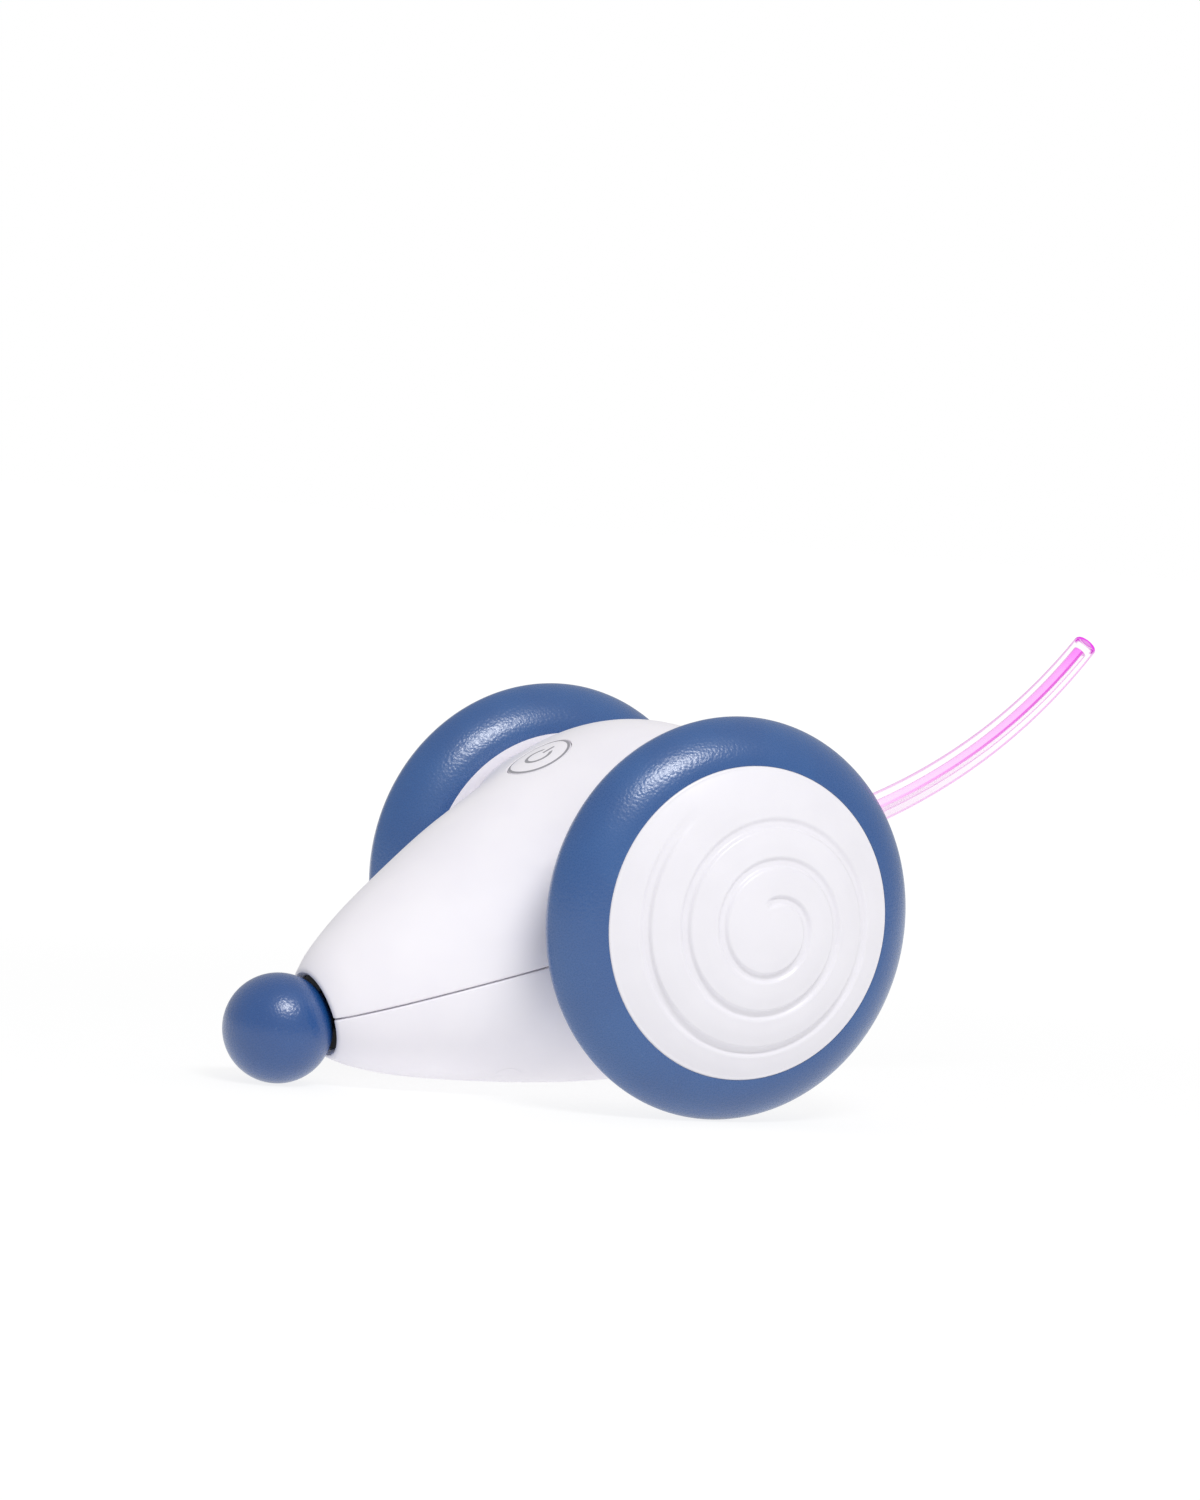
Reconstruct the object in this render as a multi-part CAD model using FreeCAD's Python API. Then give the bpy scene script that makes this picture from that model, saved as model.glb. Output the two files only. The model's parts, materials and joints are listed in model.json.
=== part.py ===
import FreeCAD, Part
import math
import os

from FreeCAD import Placement, Rotation, Vector

# Robotic mouse cat toy, in millimetres.
# The toy stands on the floor, z = 0, with its nose towards -Y, its tail towards +Y and its axle along X.
# Pieces are modelled in the body's own frame and tipped into place at the end. There the origin is the
# centre of the axle, y runs back along the body and z is square to both. A station is a distance forward
# of the axle, so y = -station. The toy's own left-hand side is +X.

# Wheels
WHEEL_RADIUS = 31.6
TYRE_X = (24.9, 38.1)
TYRE_HEIGHT = 7.1
TYRE_POWER = 1.6
TYRE_STEPS = 18
TYRE_SEAT_RADIUS = 22.9
INNER_DISC_RADIUS = 24.0
DISC_THICKNESS = 1.8
RIM_WALL = 1.6
HUB_RADIUS = 4.5
HUB_END_X = 33.0
SPOKE_COUNT = 6
SPOKE_THICKNESS = 1.2
SPOKE_DEPTH = 4.5
COVER_RADIUS = WHEEL_RADIUS - TYRE_HEIGHT
COVER_DOME = 6.0
COVER_WALL = 1.8
COVER_LIP_RADIUS = 21.2
COVER_LIP_WALL = 1.6
COVER_LIP_LENGTH = 3.8

# Spiral groove in the wheel cover: a steady spiral about a centre a little off the wheel's own
SPIRAL_CENTRE = (1.34, -0.93)
SPIRAL_PITCH = 5.94
SPIRAL_FIRST_RADIUS = 4.0
SPIRAL_FIRST_ANGLE = 103.8
SPIRAL_QUARTERS = 12
GROOVE_WIDTH = 1.9
GROOVE_DEPTH = 0.55

# Body: a drum between the wheels that runs out into a round nose cone
CROWN_RADIUS = 28.3
DRUM_END_RADIUS = 22.7
DRUM_HALF_WIDTH = 24.2
CROWN_FLATNESS = 1.46
SIDE_CURVE_STEPS = 6
WALL = 1.8
PARTING_GAP = 0.25
LIP_HEIGHT = 1.2
LIP_INSET = 1.0
LIP_PLAY = 0.1
NOSE_RIM_STATION = 58.3
NOSE_RIM_RADIUS = 7.3
NOSE_MOUTH_RADIUS = 6.2
NOSE_MOUTH_DEPTH = 6.6
NOSE_MOUTH_CHAMFER = (0.65, 0.7)
# Each row: station, half height, half width, and how much of the drum's square shape is left
NOSE_SECTIONS = (
    (0.0, CROWN_RADIUS, DRUM_HALF_WIDTH, 1.0),
    (9.0, 27.3, DRUM_HALF_WIDTH, 1.0),
    (18.5, 25.1, 23.9, 0.6),
    (28.0, 21.9, 21.6, 0.0),
    (38.0, 18.1, 18.1, 0.0),
    (48.0, 13.8, 13.8, 0.0),
    (55.0, 9.9, 9.9, 0.0),
    (NOSE_RIM_STATION, NOSE_RIM_RADIUS, NOSE_RIM_RADIUS, 0.0),
)

# Nose ball, its stem, and the guide that the stem slides in
BALL_RADIUS = 8.65
BALL_STATION = 65.0
BALL_FLAT_STATION = 57.0
NOSE_TRAVEL = 1.0
STEM_RADIUS = 2.0
STEM_FRONT_STATION = 62.0
STEM_COLLAR_RADIUS = 3.2
STEM_COLLAR_LENGTH = 1.0
GUIDE_RADIUS = 6.15
GUIDE_FRONT_STATION = 57.2
GUIDE_FLANGE_RADIUS = 8.4
GUIDE_FLANGE_STATIONS = (49.0, 50.6)
GUIDE_SLEEVE_RADIUS = 4.2
GUIDE_BACK_STATION = 41.0
GUIDE_RIB = 1.1
GUIDE_DISH_GAP = 0.5
SPRING_CHAMBER_RADIUS = 3.6
SPRING_CHAMBER_STATION = 52.3
SPRING_RADIUS = 2.8
SPRING_WIRE_RADIUS = 0.25
SPRING_TURNS = 4
SPRING_STEP = math.pi
SPRING_WIRE_SIDES = 12
BUMP_PLUNGER_RADIUS = 0.8
BUMP_PLUNGER_STATIONS = (36.5, 39.9)
BUMP_SWITCH_STATIONS = (31.5, 37.0)
BUMP_SWITCH_HALF = 3.0
SWITCH_POST_HALF = 1.2
RUNNING_GAP = 0.05
END_GAP = 0.5

# Key on top of the body
KEY_STATION = 10.3
KEY_HEIGHT = 27.05
KEY_TILT = 10.6
KEY_RADIUS = 5.45
KEY_HOLE_RADIUS = 5.6
KEY_TRAVEL = 0.3
KEY_FLANGE_RADIUS = 6.5
KEY_FLANGE_DEPTHS = (2.8, 3.8)
KEY_STEM_RADIUS = 1.5
KEY_HOLE_DEPTH = 3.0
KEY_PROUD = 5.0
SWITCH_HEIGHT = 2.5
SWITCH_HALF = 3.0
SWITCH_PLUNGER_RADIUS = 1.4
SWITCH_PLUNGER_DEPTHS = (4.1, 5.6)

# Tail: a straight root, then two arcs that turn it up. Each arc is a radius and the degrees it turns
TAIL_ROOT_Y = 22.0
TAIL_EXIT_Y = 28.3
TAIL_BEND_Y = 33.9
TAIL_SLOPE = -3.85
TAIL_ARCS = ((103.0, 18.0), (96.0, 17.1))
TAIL_ROOT_RADIUS = 2.7
TAIL_TIP_RADIUS = 2.0
TAIL_CORE_RADIUS = 1.1
TAIL_CLOSED_END = 2.0
TAIL_TIP_ROUNDING = 0.7
TAIL_RINGS = 14
TAIL_HOLDER_RADIUS = 4.2
TAIL_HOLDER_Y = (15.5, 25.0)
TAIL_RIB_HALF = 9.0
TAIL_RIB = 1.6
LAMP_RADIUS = 1.5
LAMP_LENGTH = 5.0

# Drive: on each side a pinion, two stepped gears and an output gear, in three layers
MODULE = 0.5
PRESSURE_ANGLE = math.radians(20)
PINION_TEETH = 9
FIRST_GEAR_TEETH = (30, 10)
SECOND_GEAR_TEETH = (32, 12)
OUTPUT_TEETH = 36
TOOTH_SHARE = 0.43
ADDENDUM = 0.8
DEDENDUM = 1.25
FLANK_STEPS = 3
AXLE_RADIUS = 1.5
PIN_RADIUS = 0.75
MOTOR_SHAFT_RADIUS = 0.5
FRAME_X = (12.2, 13.2)
LAYER_C_X = (13.6, 15.8)
LAYER_B_X = (16.2, 18.4)
LAYER_A_X = (18.8, 21.0)
COVER_PLATE_X = (21.2, 22.2)
GEARBOX_RADIUS = 20.3
GEARBOX_FLOOR = -14.0
SECOND_GEAR_BEARING = math.radians(86.6)
FIRST_GEAR_REACH = 11.5
PINION_REACH = 14.0
MOTOR_RADIUS = 6.0
MOTOR_HALF_HEIGHT = 5.0
MOTOR_INNER_X = 0.8
MOTOR_CAP_LENGTH = 1.6
MOTOR_CAP_STEP = 0.4
MOTOR_TERMINAL = (0.6, 1.2, 1.2)
MOTOR_TERMINAL_Y = 4.0
MOTOR_SHAFT_INNER_X = 6.0
GEARBOX_RIB_HALF = 9.0
GEARBOX_TRIM = 0.2
WINDOW_RING_SHARE = 0.62
WINDOW_SHARE = 0.34
COLUMN_RADIUS = 1.9
COLUMNS = ((12.5, 9.5), (12.5, -9.5), (-9.5, -11.8))
BUSH_RADIUS = 3.0
BUSH_X = (21.2, 24.5)
AXLE_INNER_X = 12.3

# Battery, boards and sockets
BATTERY_HALF_WIDTH = 10.0
BATTERY_Y = (-26.0, 4.0)
BATTERY_Z = (5.3, 11.3)
TRAY_FLOOR = 1.2
TRAY_SIDE_HEIGHT = 4.0
TRAY_CORNER = (10.8, -18.0)
BATTERY_ROUNDING = 1.2
BOARD_DEPTH = 7.5
BOARD_THICKNESS = 1.2
BOARD_HALF_WIDTH = 11.0
BOARD_REACH = (-12.0, 16.0)
BOARD_SCREWS = ((8.5, -9.5), (-8.5, -9.5), (8.5, 13.0), (-8.5, 13.0))
# Parts on the board: x and y of the middle, then width, length and height
CHIPS = (
    (0.0, 9.5, 6.0, 6.0, 1.0),
    (-7.2, 5.5, 3.0, 4.0, 1.2),
    (7.0, 5.5, 4.0, 4.0, 1.8),
    (-7.5, -4.0, 4.0, 3.0, 1.5),
    (7.5, -4.0, 3.0, 2.0, 1.0),
    (4.5, 14.0, 3.0, 2.0, 1.0),
    (0.0, -9.5, 7.0, 3.5, 2.2),
)
SOCKET_HALF_WIDTH = 4.47
SOCKET_HALF_HEIGHT = 1.63
SOCKET_Y = (20.5, 27.9)
SOCKET_WALL = 0.3
SOCKET_BACK = 1.2
SOCKET_TONGUE = (3.3, 0.35)
SOCKET_CLEARANCE = 0.12
CHARGE_BOARD_HALF_WIDTH = 5.3
CHARGE_BOARD_Z = (-6.5, 2.2)
CHARGE_POST_HALF = 4.0

# Screws: shank radius, head radius, head height and length below the head
SHELL_SCREW = (1.0, 1.9, 1.4, 13.0)
WHEEL_SCREW = (1.0, 2.6, 1.6, 6.0)
GEARBOX_SCREW = (0.8, 1.5, 1.1, 6.0)
BOARD_SCREW = (0.7, 1.4, 1.0, 5.0)
# Slot in a screw's head: reach and half width as shares of its radius, depth as a share of its height
SCREW_SLOT = (0.6, 0.13, 0.55)
SCREW_WELL_RADIUS = 2.1
SHELL_SCREW_SEAT = -7.6
SCREW_PLUG_TOP = -9.4
SHELL_SCREWS = ((9.5, -33.0), (-9.5, -33.0), (8.0, 21.0), (-8.0, 21.0))
BOSS_RADIUS = 2.5
SMALL_BOSS_RADIUS = 2.0

X_AXIS = Vector(1, 0, 0)
Y_AXIS = Vector(0, 1, 0)
Z_AXIS = Vector(0, 0, 1)
ORIGIN = Vector(0, 0, 0)
FAR = 60.0

# The body tips nose down until the ball stands on the floor
PITCH = math.degrees(math.asin((WHEEL_RADIUS - BALL_RADIUS) / BALL_STATION))


# Plain shapes
def box(x_range, y_range, z_range):
    size = [high - low for low, high in (x_range, y_range, z_range)]
    return Part.makeBox(*size, Vector(x_range[0], y_range[0], z_range[0]))


def cylinder_x(radius, x_range, y=0.0, z=0.0):
    return Part.makeCylinder(radius, x_range[1] - x_range[0], Vector(x_range[0], y, z), X_AXIS)


def cylinder_y(radius, y_range, x=0.0, z=0.0):
    return Part.makeCylinder(radius, y_range[1] - y_range[0], Vector(x, y_range[0], z), Y_AXIS)


def cylinder_z(radius, z_range, x=0.0, y=0.0):
    return Part.makeCylinder(radius, z_range[1] - z_range[0], Vector(x, y, z_range[0]), Z_AXIS)


def nose_cylinder(radius, stations):
    """A cylinder on the body's axis between two stations."""
    return cylinder_y(radius, (-stations[1], -stations[0]))


def fuse(shapes):
    return shapes[0].fuse(shapes[1:]).removeSplitter()


def revolve_x(points):
    """Turn an outline of (x, radius) points about the X axis."""
    corners = [Vector(x, 0, radius) for x, radius in points]
    outline = Part.makePolygon(corners + corners[:1])
    return Part.Face(outline).revolve(ORIGIN, X_AXIS, 360)


def spline(points):
    curve = Part.BSplineCurve()
    curve.interpolate([Vector(*point) for point in points])
    return curve.toShape()


def slot_y(half_width, half_height, y_range):
    """A bar along y with a rounded-end section."""
    middle = half_width - half_height
    bar = box((-middle, middle), y_range, (-half_height, half_height))
    ends = [cylinder_y(half_height, y_range, x) for x in (-middle, middle)]
    return fuse([bar] + ends)


def screw(shank_radius, head_radius, head_height, length):
    """A screw that points up, with a cross slot in the head below its seat at z = 0."""
    shank = cylinder_z(shank_radius, (-head_height, length))
    body = fuse([shank, cylinder_z(head_radius, (-head_height, 0))])
    reach_share, half_share, depth_share = SCREW_SLOT
    arm = head_radius * reach_share
    half = head_radius * half_share
    depth = (-head_height, head_height * (depth_share - 1))
    return body.cut([box((-arm, arm), (-half, half), depth), box((-half, half), (-arm, arm), depth)])


def moved(shape, x=0.0, y=0.0, z=0.0):
    copy = shape.copy()
    copy.translate(Vector(x, y, z))
    return copy


def aimed_along_x(shape):
    """Turn a piece that points up so that it points along +x."""
    copy = shape.copy()
    copy.rotate(ORIGIN, Y_AXIS, 90)
    return copy


def mirrored(shape):
    """The same piece on the other side of the body."""
    return shape.mirror(ORIGIN, X_AXIS)


def half_turned(shape):
    """The same piece carried to the other side by half a turn about the upright axis."""
    copy = shape.copy()
    copy.rotate(ORIGIN, Z_AXIS, 180)
    return copy


def levelled(shape):
    """Bring a piece that is level on the floor into the body's tipped frame."""
    copy = shape.copy()
    copy.rotate(ORIGIN, X_AXIS, -PITCH)
    return copy


def in_key_frame(shape):
    """Bring a piece from the key's frame, with z outwards and y back, into the body's."""
    copy = shape.copy()
    place = Placement(Vector(0, -KEY_STATION, KEY_HEIGHT), Rotation(X_AXIS, KEY_TILT))
    copy.Placement = place.multiply(copy.Placement)
    return copy


# Form of the body
def ellipse_share(part, bow):
    """Rise of an elliptic bow over its chord: 1 in the middle and 0 at both ends."""
    if bow < 1e-9:
        return 1.0
    low = math.sqrt(1 - bow)
    return (math.sqrt(1 - bow * part * part) - low) / (1 - low)


def bell_share(part):
    """Rise of the drum's crown over its ends: 1 in the middle and 0 at both ends."""
    return 1 - CROWN_FLATNESS * part ** 2 + (CROWN_FLATNESS - 1) * part ** 4


def section_corner(station, half_height, half_width, square, inset):
    """Where the top of a section meets its side: on the drum's end, or at 45 degrees on the cone."""
    drum_height = math.sqrt(max((DRUM_END_RADIUS - inset) ** 2 - station ** 2, 0.0))
    round_share = (1 - square) * math.sqrt(0.5)
    return half_width * (square + round_share), square * drum_height + round_share * half_height


def section_wire(station, half_height, half_width, square, inset):
    """One cross-section of the body, inside the outer one by the inset: top, side, bottom and side."""
    half_height -= inset
    half_width -= inset
    corner_x, corner_z = section_corner(station, half_height, half_width, square, inset)
    top_bow = 1 - (corner_z / half_height) ** 2
    side_bow = 1 - (corner_x / half_width) ** 2
    parts = [step / SIDE_CURVE_STEPS for step in range(-SIDE_CURVE_STEPS, SIDE_CURVE_STEPS + 1)]

    def top(part):
        share = square * bell_share(part) + (1 - square) * ellipse_share(part, top_bow)
        return corner_z + (half_height - corner_z) * share

    def side(part):
        return corner_x + (half_width - corner_x) * ellipse_share(part, side_bow)

    return Part.Wire([
        spline([(part * corner_x, -station, top(part)) for part in parts]),
        spline([(side(part), -station, -part * corner_z) for part in parts]),
        spline([(-part * corner_x, -station, -top(part)) for part in parts]),
        spline([(-side(part), -station, part * corner_z) for part in parts]),
    ])


def drum_back(inset):
    """The rear half of the drum: its crown line turned half way round the axle."""
    half_width = DRUM_HALF_WIDTH - inset
    end_radius = DRUM_END_RADIUS - inset
    rise = CROWN_RADIUS - DRUM_END_RADIUS
    parts = [step / SIDE_CURVE_STEPS for step in range(-SIDE_CURVE_STEPS, SIDE_CURVE_STEPS + 1)]
    crown = spline([(part * half_width, 0, end_radius + rise * bell_share(part)) for part in parts])
    corners = [Vector(half_width, 0, end_radius), Vector(half_width, 0, 0),
               Vector(-half_width, 0, 0), Vector(-half_width, 0, end_radius)]
    outline = Part.Wire([crown] + Part.makePolygon(corners).Edges)
    return Part.Face(outline).revolve(ORIGIN, X_AXIS * -1, 180)


def body_form(inset):
    """The whole body as one solid, inside its outer surface by the inset."""
    wires = [section_wire(*row, inset) for row in NOSE_SECTIONS]
    return Part.makeLoft(wires, True, False).fuse(drum_back(inset))


# Tail
def tail_point(length):
    """Place (y, z) and slope of the tail's centre line at a length from its root."""
    slope = math.radians(TAIL_SLOPE)
    y = TAIL_ROOT_Y
    z = (TAIL_ROOT_Y - TAIL_EXIT_Y) * math.tan(slope)
    straight = (TAIL_BEND_Y - TAIL_ROOT_Y) / math.cos(slope)
    run = min(length, straight)
    y += run * math.cos(slope)
    z += run * math.sin(slope)
    length -= run
    for radius, turn in TAIL_ARCS:
        angle = min(length / radius, math.radians(turn))
        y += radius * (math.sin(slope + angle) - math.sin(slope))
        z -= radius * (math.cos(slope + angle) - math.cos(slope))
        slope += angle
        length -= angle * radius
    return y, z, slope


def tail_length():
    straight = (TAIL_BEND_Y - TAIL_ROOT_Y) / math.cos(math.radians(TAIL_SLOPE))
    return straight + sum(radius * math.radians(turn) for radius, turn in TAIL_ARCS)


def tail_form(root_radius, tip_radius, end):
    """A tapered rod along the tail's centre line, from its root to the given length."""
    rings = []
    for ring in range(TAIL_RINGS):
        part = ring / (TAIL_RINGS - 1)
        y, z, slope = tail_point(part * end)
        radius = root_radius + part * (tip_radius - root_radius)
        direction = Vector(0, math.cos(slope), math.sin(slope))
        rings.append(Part.Wire(Part.makeCircle(radius, Vector(0, y, z), direction)))
    return Part.makeLoft(rings, True, False)


def tail_parts():
    length = tail_length()
    outer = tail_form(TAIL_ROOT_RADIUS, TAIL_TIP_RADIUS, length)
    tip = max(outer.Faces, key=lambda face: face.CenterOfMass.y)
    outer = outer.makeFillet(TAIL_TIP_ROUNDING, tip.Edges)
    core = tail_form(TAIL_CORE_RADIUS, TAIL_CORE_RADIUS, length - TAIL_CLOSED_END)
    _, lamp_z, _ = tail_point(0)
    lamp_y = (TAIL_ROOT_Y - LAMP_LENGTH, TAIL_ROOT_Y - LAMP_RADIUS)
    lamp = cylinder_y(LAMP_RADIUS, lamp_y, 0, lamp_z)
    lamp = fuse([lamp, Part.makeSphere(LAMP_RADIUS, Vector(0, lamp_y[1], lamp_z))])
    holder = cylinder_y(TAIL_HOLDER_RADIUS, TAIL_HOLDER_Y)
    bore = cylinder_y(LAMP_RADIUS, (TAIL_HOLDER_Y[0], TAIL_ROOT_Y), 0, lamp_z)
    return {
        "tail_tube": outer.cut(core),
        "tail_light_guide": core,
        "tail_holder": holder.cut([outer, bore]),
        "tail_lamp": lamp,
    }


# Gears
def gear_outline(teeth):
    """A closed gear outline in the plane of y and z, with one tooth pointing along +y."""
    pitch_radius = MODULE * teeth / 2
    base_radius = pitch_radius * math.cos(PRESSURE_ANGLE)
    root_radius = pitch_radius - DEDENDUM * MODULE
    tip_radius = pitch_radius + ADDENDUM * MODULE
    pitch_half_angle = TOOTH_SHARE * math.pi / teeth

    def involute(radius):
        angle = math.acos(min(1.0, base_radius / radius))
        return math.tan(angle) - angle

    def half_angle(radius):
        return pitch_half_angle + involute(pitch_radius) - involute(max(radius, base_radius))

    flank_foot = max(root_radius, base_radius)
    radii = [root_radius] if root_radius < base_radius else []
    radii += [flank_foot + (tip_radius - flank_foot) * i / FLANK_STEPS for i in range(FLANK_STEPS + 1)]
    points = []
    for tooth in range(teeth):
        middle = 2 * math.pi * tooth / teeth
        flank = [(radius, half_angle(radius)) for radius in radii]
        outline = [(radius, -angle) for radius, angle in flank]
        outline += flank[::-1]
        points += [(radius * math.cos(middle + a), radius * math.sin(middle + a)) for radius, a in outline]
    return points


def gear(teeth, x_range, phase=0.0):
    """A spur gear on the X axis, with one tooth at the given angle from +y."""
    corners = [Vector(x_range[0], y, z) for y, z in gear_outline(teeth)]
    face = Part.Face(Part.makePolygon(corners + corners[:1]))
    solid = face.extrude(Vector(x_range[1] - x_range[0], 0, 0))
    solid.rotate(ORIGIN, X_AXIS, math.degrees(phase))
    return solid


def pair_distance(first, second):
    return MODULE * (first + second) / 2


def bearing_step(reach, next_reach, distance):
    """Angle at the axle between two gear centres with the given reaches, a distance apart."""
    return math.acos((reach ** 2 + next_reach ** 2 - distance ** 2) / (2 * reach * next_reach))


def gear_centres():
    """Centres (y, z) of the second gear, the first gear and the pinion, in that order from the axle."""
    second_reach = pair_distance(OUTPUT_TEETH, SECOND_GEAR_TEETH[1])
    first_bearing = SECOND_GEAR_BEARING - bearing_step(
        second_reach, FIRST_GEAR_REACH, pair_distance(SECOND_GEAR_TEETH[0], FIRST_GEAR_TEETH[1]))
    pinion_bearing = first_bearing - bearing_step(
        FIRST_GEAR_REACH, PINION_REACH, pair_distance(FIRST_GEAR_TEETH[0], PINION_TEETH))
    places = (
        (second_reach, SECOND_GEAR_BEARING),
        (FIRST_GEAR_REACH, first_bearing),
        (PINION_REACH, pinion_bearing),
    )
    return [(-reach * math.cos(bearing), reach * math.sin(bearing)) for reach, bearing in places]


def meshing_phases(from_centre, to_centre, teeth):
    """Phases of two meshing gears: a tooth of the first points at a gap of the second."""
    towards = math.atan2(to_centre[1] - from_centre[1], to_centre[0] - from_centre[0])
    return towards, towards + math.pi + math.pi / teeth


def stepped_gear(centre, large, small, shaft_radius):
    """A large and a small gear in one piece, each given as teeth, x range and phase."""
    solid = fuse([gear(*large), gear(*small)])
    x_range = (min(large[1][0], small[1][0]), max(large[1][1], small[1][1]))
    return moved(solid.cut(cylinder_x(shaft_radius, x_range)), 0, *centre)


def lightened(solid, teeth, x_range):
    """Take four round windows out of a large gear."""
    ring = MODULE * teeth / 2 * WINDOW_RING_SHARE
    windows = []
    for quarter in range(4):
        angle = math.pi * (quarter + 0.5) / 2
        place = (ring * math.cos(angle), ring * math.sin(angle))
        windows.append(cylinder_x(ring * WINDOW_SHARE, x_range, *place))
    return solid.cut(windows)


def gear_parts():
    """The moving gears of the left-hand gearbox."""
    axle_centre = (0.0, 0.0)
    second, first, pinion = gear_centres()
    output_phase, second_small_phase = meshing_phases(axle_centre, second, SECOND_GEAR_TEETH[1])
    second_large_phase, first_small_phase = meshing_phases(second, first, FIRST_GEAR_TEETH[1])
    first_large_phase, pinion_phase = meshing_phases(first, pinion, PINION_TEETH)
    running_bore = PIN_RADIUS + RUNNING_GAP
    output = gear(OUTPUT_TEETH, LAYER_A_X, output_phase).cut(cylinder_x(AXLE_RADIUS, LAYER_A_X))
    second_small_x = (LAYER_B_X[1], LAYER_A_X[1])
    first_small_x = (LAYER_C_X[1], LAYER_B_X[1])
    return {
        "output_gear": lightened(output, OUTPUT_TEETH, LAYER_A_X),
        "second_gear": stepped_gear(second, (SECOND_GEAR_TEETH[0], LAYER_B_X, second_large_phase),
                                    (SECOND_GEAR_TEETH[1], second_small_x, second_small_phase), running_bore),
        "first_gear": stepped_gear(first, (FIRST_GEAR_TEETH[0], LAYER_C_X, first_large_phase),
                                   (FIRST_GEAR_TEETH[1], first_small_x, first_small_phase), running_bore),
        "motor_pinion": moved(gear(PINION_TEETH, LAYER_C_X, pinion_phase).cut(
            cylinder_x(MOTOR_SHAFT_RADIUS, LAYER_C_X)), 0, *pinion),
        "motor_shaft": cylinder_x(MOTOR_SHAFT_RADIUS, (MOTOR_SHAFT_INNER_X, LAYER_C_X[1]), *pinion),
    }


# Gearboxes and motors
def gearbox_plate(x_range):
    plate = cylinder_x(GEARBOX_RADIUS, x_range)
    return plate.common(box((0, FAR), (-FAR, FAR), (GEARBOX_FLOOR, FAR)))


def motor(centre):
    """A small flat-sided motor: steel can, plastic end cap with two terminals, and front boss."""
    can_start = MOTOR_INNER_X + MOTOR_CAP_LENGTH
    can = cylinder_x(MOTOR_RADIUS, (can_start, FRAME_X[0]))
    cap = cylinder_x(MOTOR_RADIUS - MOTOR_CAP_STEP, (MOTOR_INNER_X, can_start))
    flats = box((0, FAR), (-FAR, FAR), (-MOTOR_HALF_HEIGHT, MOTOR_HALF_HEIGHT))
    boss = cylinder_x(AXLE_RADIUS, FRAME_X)
    length, width, height = MOTOR_TERMINAL
    terminal = box((MOTOR_INNER_X - length, MOTOR_INNER_X), (-width / 2, width / 2), (-height, height))
    terminals = [moved(terminal, 0, y) for y in (-MOTOR_TERMINAL_Y, MOTOR_TERMINAL_Y)]
    solid = fuse([can.common(flats), cap.common(flats), boss] + terminals)
    bore = cylinder_x(MOTOR_SHAFT_RADIUS + RUNNING_GAP, (MOTOR_SHAFT_INNER_X - RUNNING_GAP, FRAME_X[1]))
    return moved(solid.cut(bore), 0, *centre)


def gearbox_parts(room):
    """The fixed parts of the left-hand gearbox, which stay inside the room in the shells."""
    second, first, pinion = gear_centres()
    pins = [cylinder_x(PIN_RADIUS, (FRAME_X[0], COVER_PLATE_X[1]), *centre).common(room)
            for centre in (second, first)]
    frame = gearbox_plate(FRAME_X).cut(pins + [
        cylinder_x(AXLE_RADIUS + RUNNING_GAP, FRAME_X), cylinder_x(AXLE_RADIUS, FRAME_X, *pinion)])
    columns = [cylinder_x(COLUMN_RADIUS, (FRAME_X[1], COVER_PLATE_X[0]), *centre) for centre in COLUMNS]
    cover = fuse([gearbox_plate(COVER_PLATE_X)] + columns).common(room)
    cover = cover.cut(pins + [cylinder_x(BUSH_RADIUS, COVER_PLATE_X)])
    screws = [moved(aimed_along_x(screw(*GEARBOX_SCREW)), FRAME_X[0], *centre) for centre in COLUMNS]
    bush = cylinder_x(BUSH_RADIUS, BUSH_X).cut(cylinder_x(AXLE_RADIUS + RUNNING_GAP, BUSH_X))
    return {
        "gearbox_frame": frame.cut(screws),
        "gearbox_cover": cover.cut(screws),
        "gearbox_screws": Part.makeCompound(screws),
        "gear_pins": Part.makeCompound(pins),
        "motor": motor(pinion),
        "axle_bush": bush,
    }


# Wheels
def tyre():
    """A half-round soft ring that hooks over the rim and the inner disc."""
    middle = sum(TYRE_X) / 2
    half_width = TYRE_X[1] - middle
    arc = []
    for step in range(TYRE_STEPS + 1):
        angle = math.pi * (1 - step / TYRE_STEPS)
        across = math.copysign(abs(math.cos(angle)) ** (2 / TYRE_POWER), math.cos(angle))
        out = abs(math.sin(angle)) ** (2 / TYRE_POWER)
        arc.append((middle + half_width * across, 0, COVER_RADIUS + TYRE_HEIGHT * out))
    inner_x = TYRE_X[0] + DISC_THICKNESS
    outer_x = TYRE_X[1] - DISC_THICKNESS
    inside = [(TYRE_X[1], COVER_RADIUS), (outer_x, COVER_RADIUS), (outer_x, TYRE_SEAT_RADIUS),
              (inner_x, TYRE_SEAT_RADIUS), (inner_x, INNER_DISC_RADIUS), (TYRE_X[0], INNER_DISC_RADIUS),
              (TYRE_X[0], COVER_RADIUS)]
    edges = Part.makePolygon([Vector(x, 0, radius) for x, radius in inside]).Edges
    return Part.Face(Part.Wire([spline(arc)] + edges)).revolve(ORIGIN, X_AXIS, 360)


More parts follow.
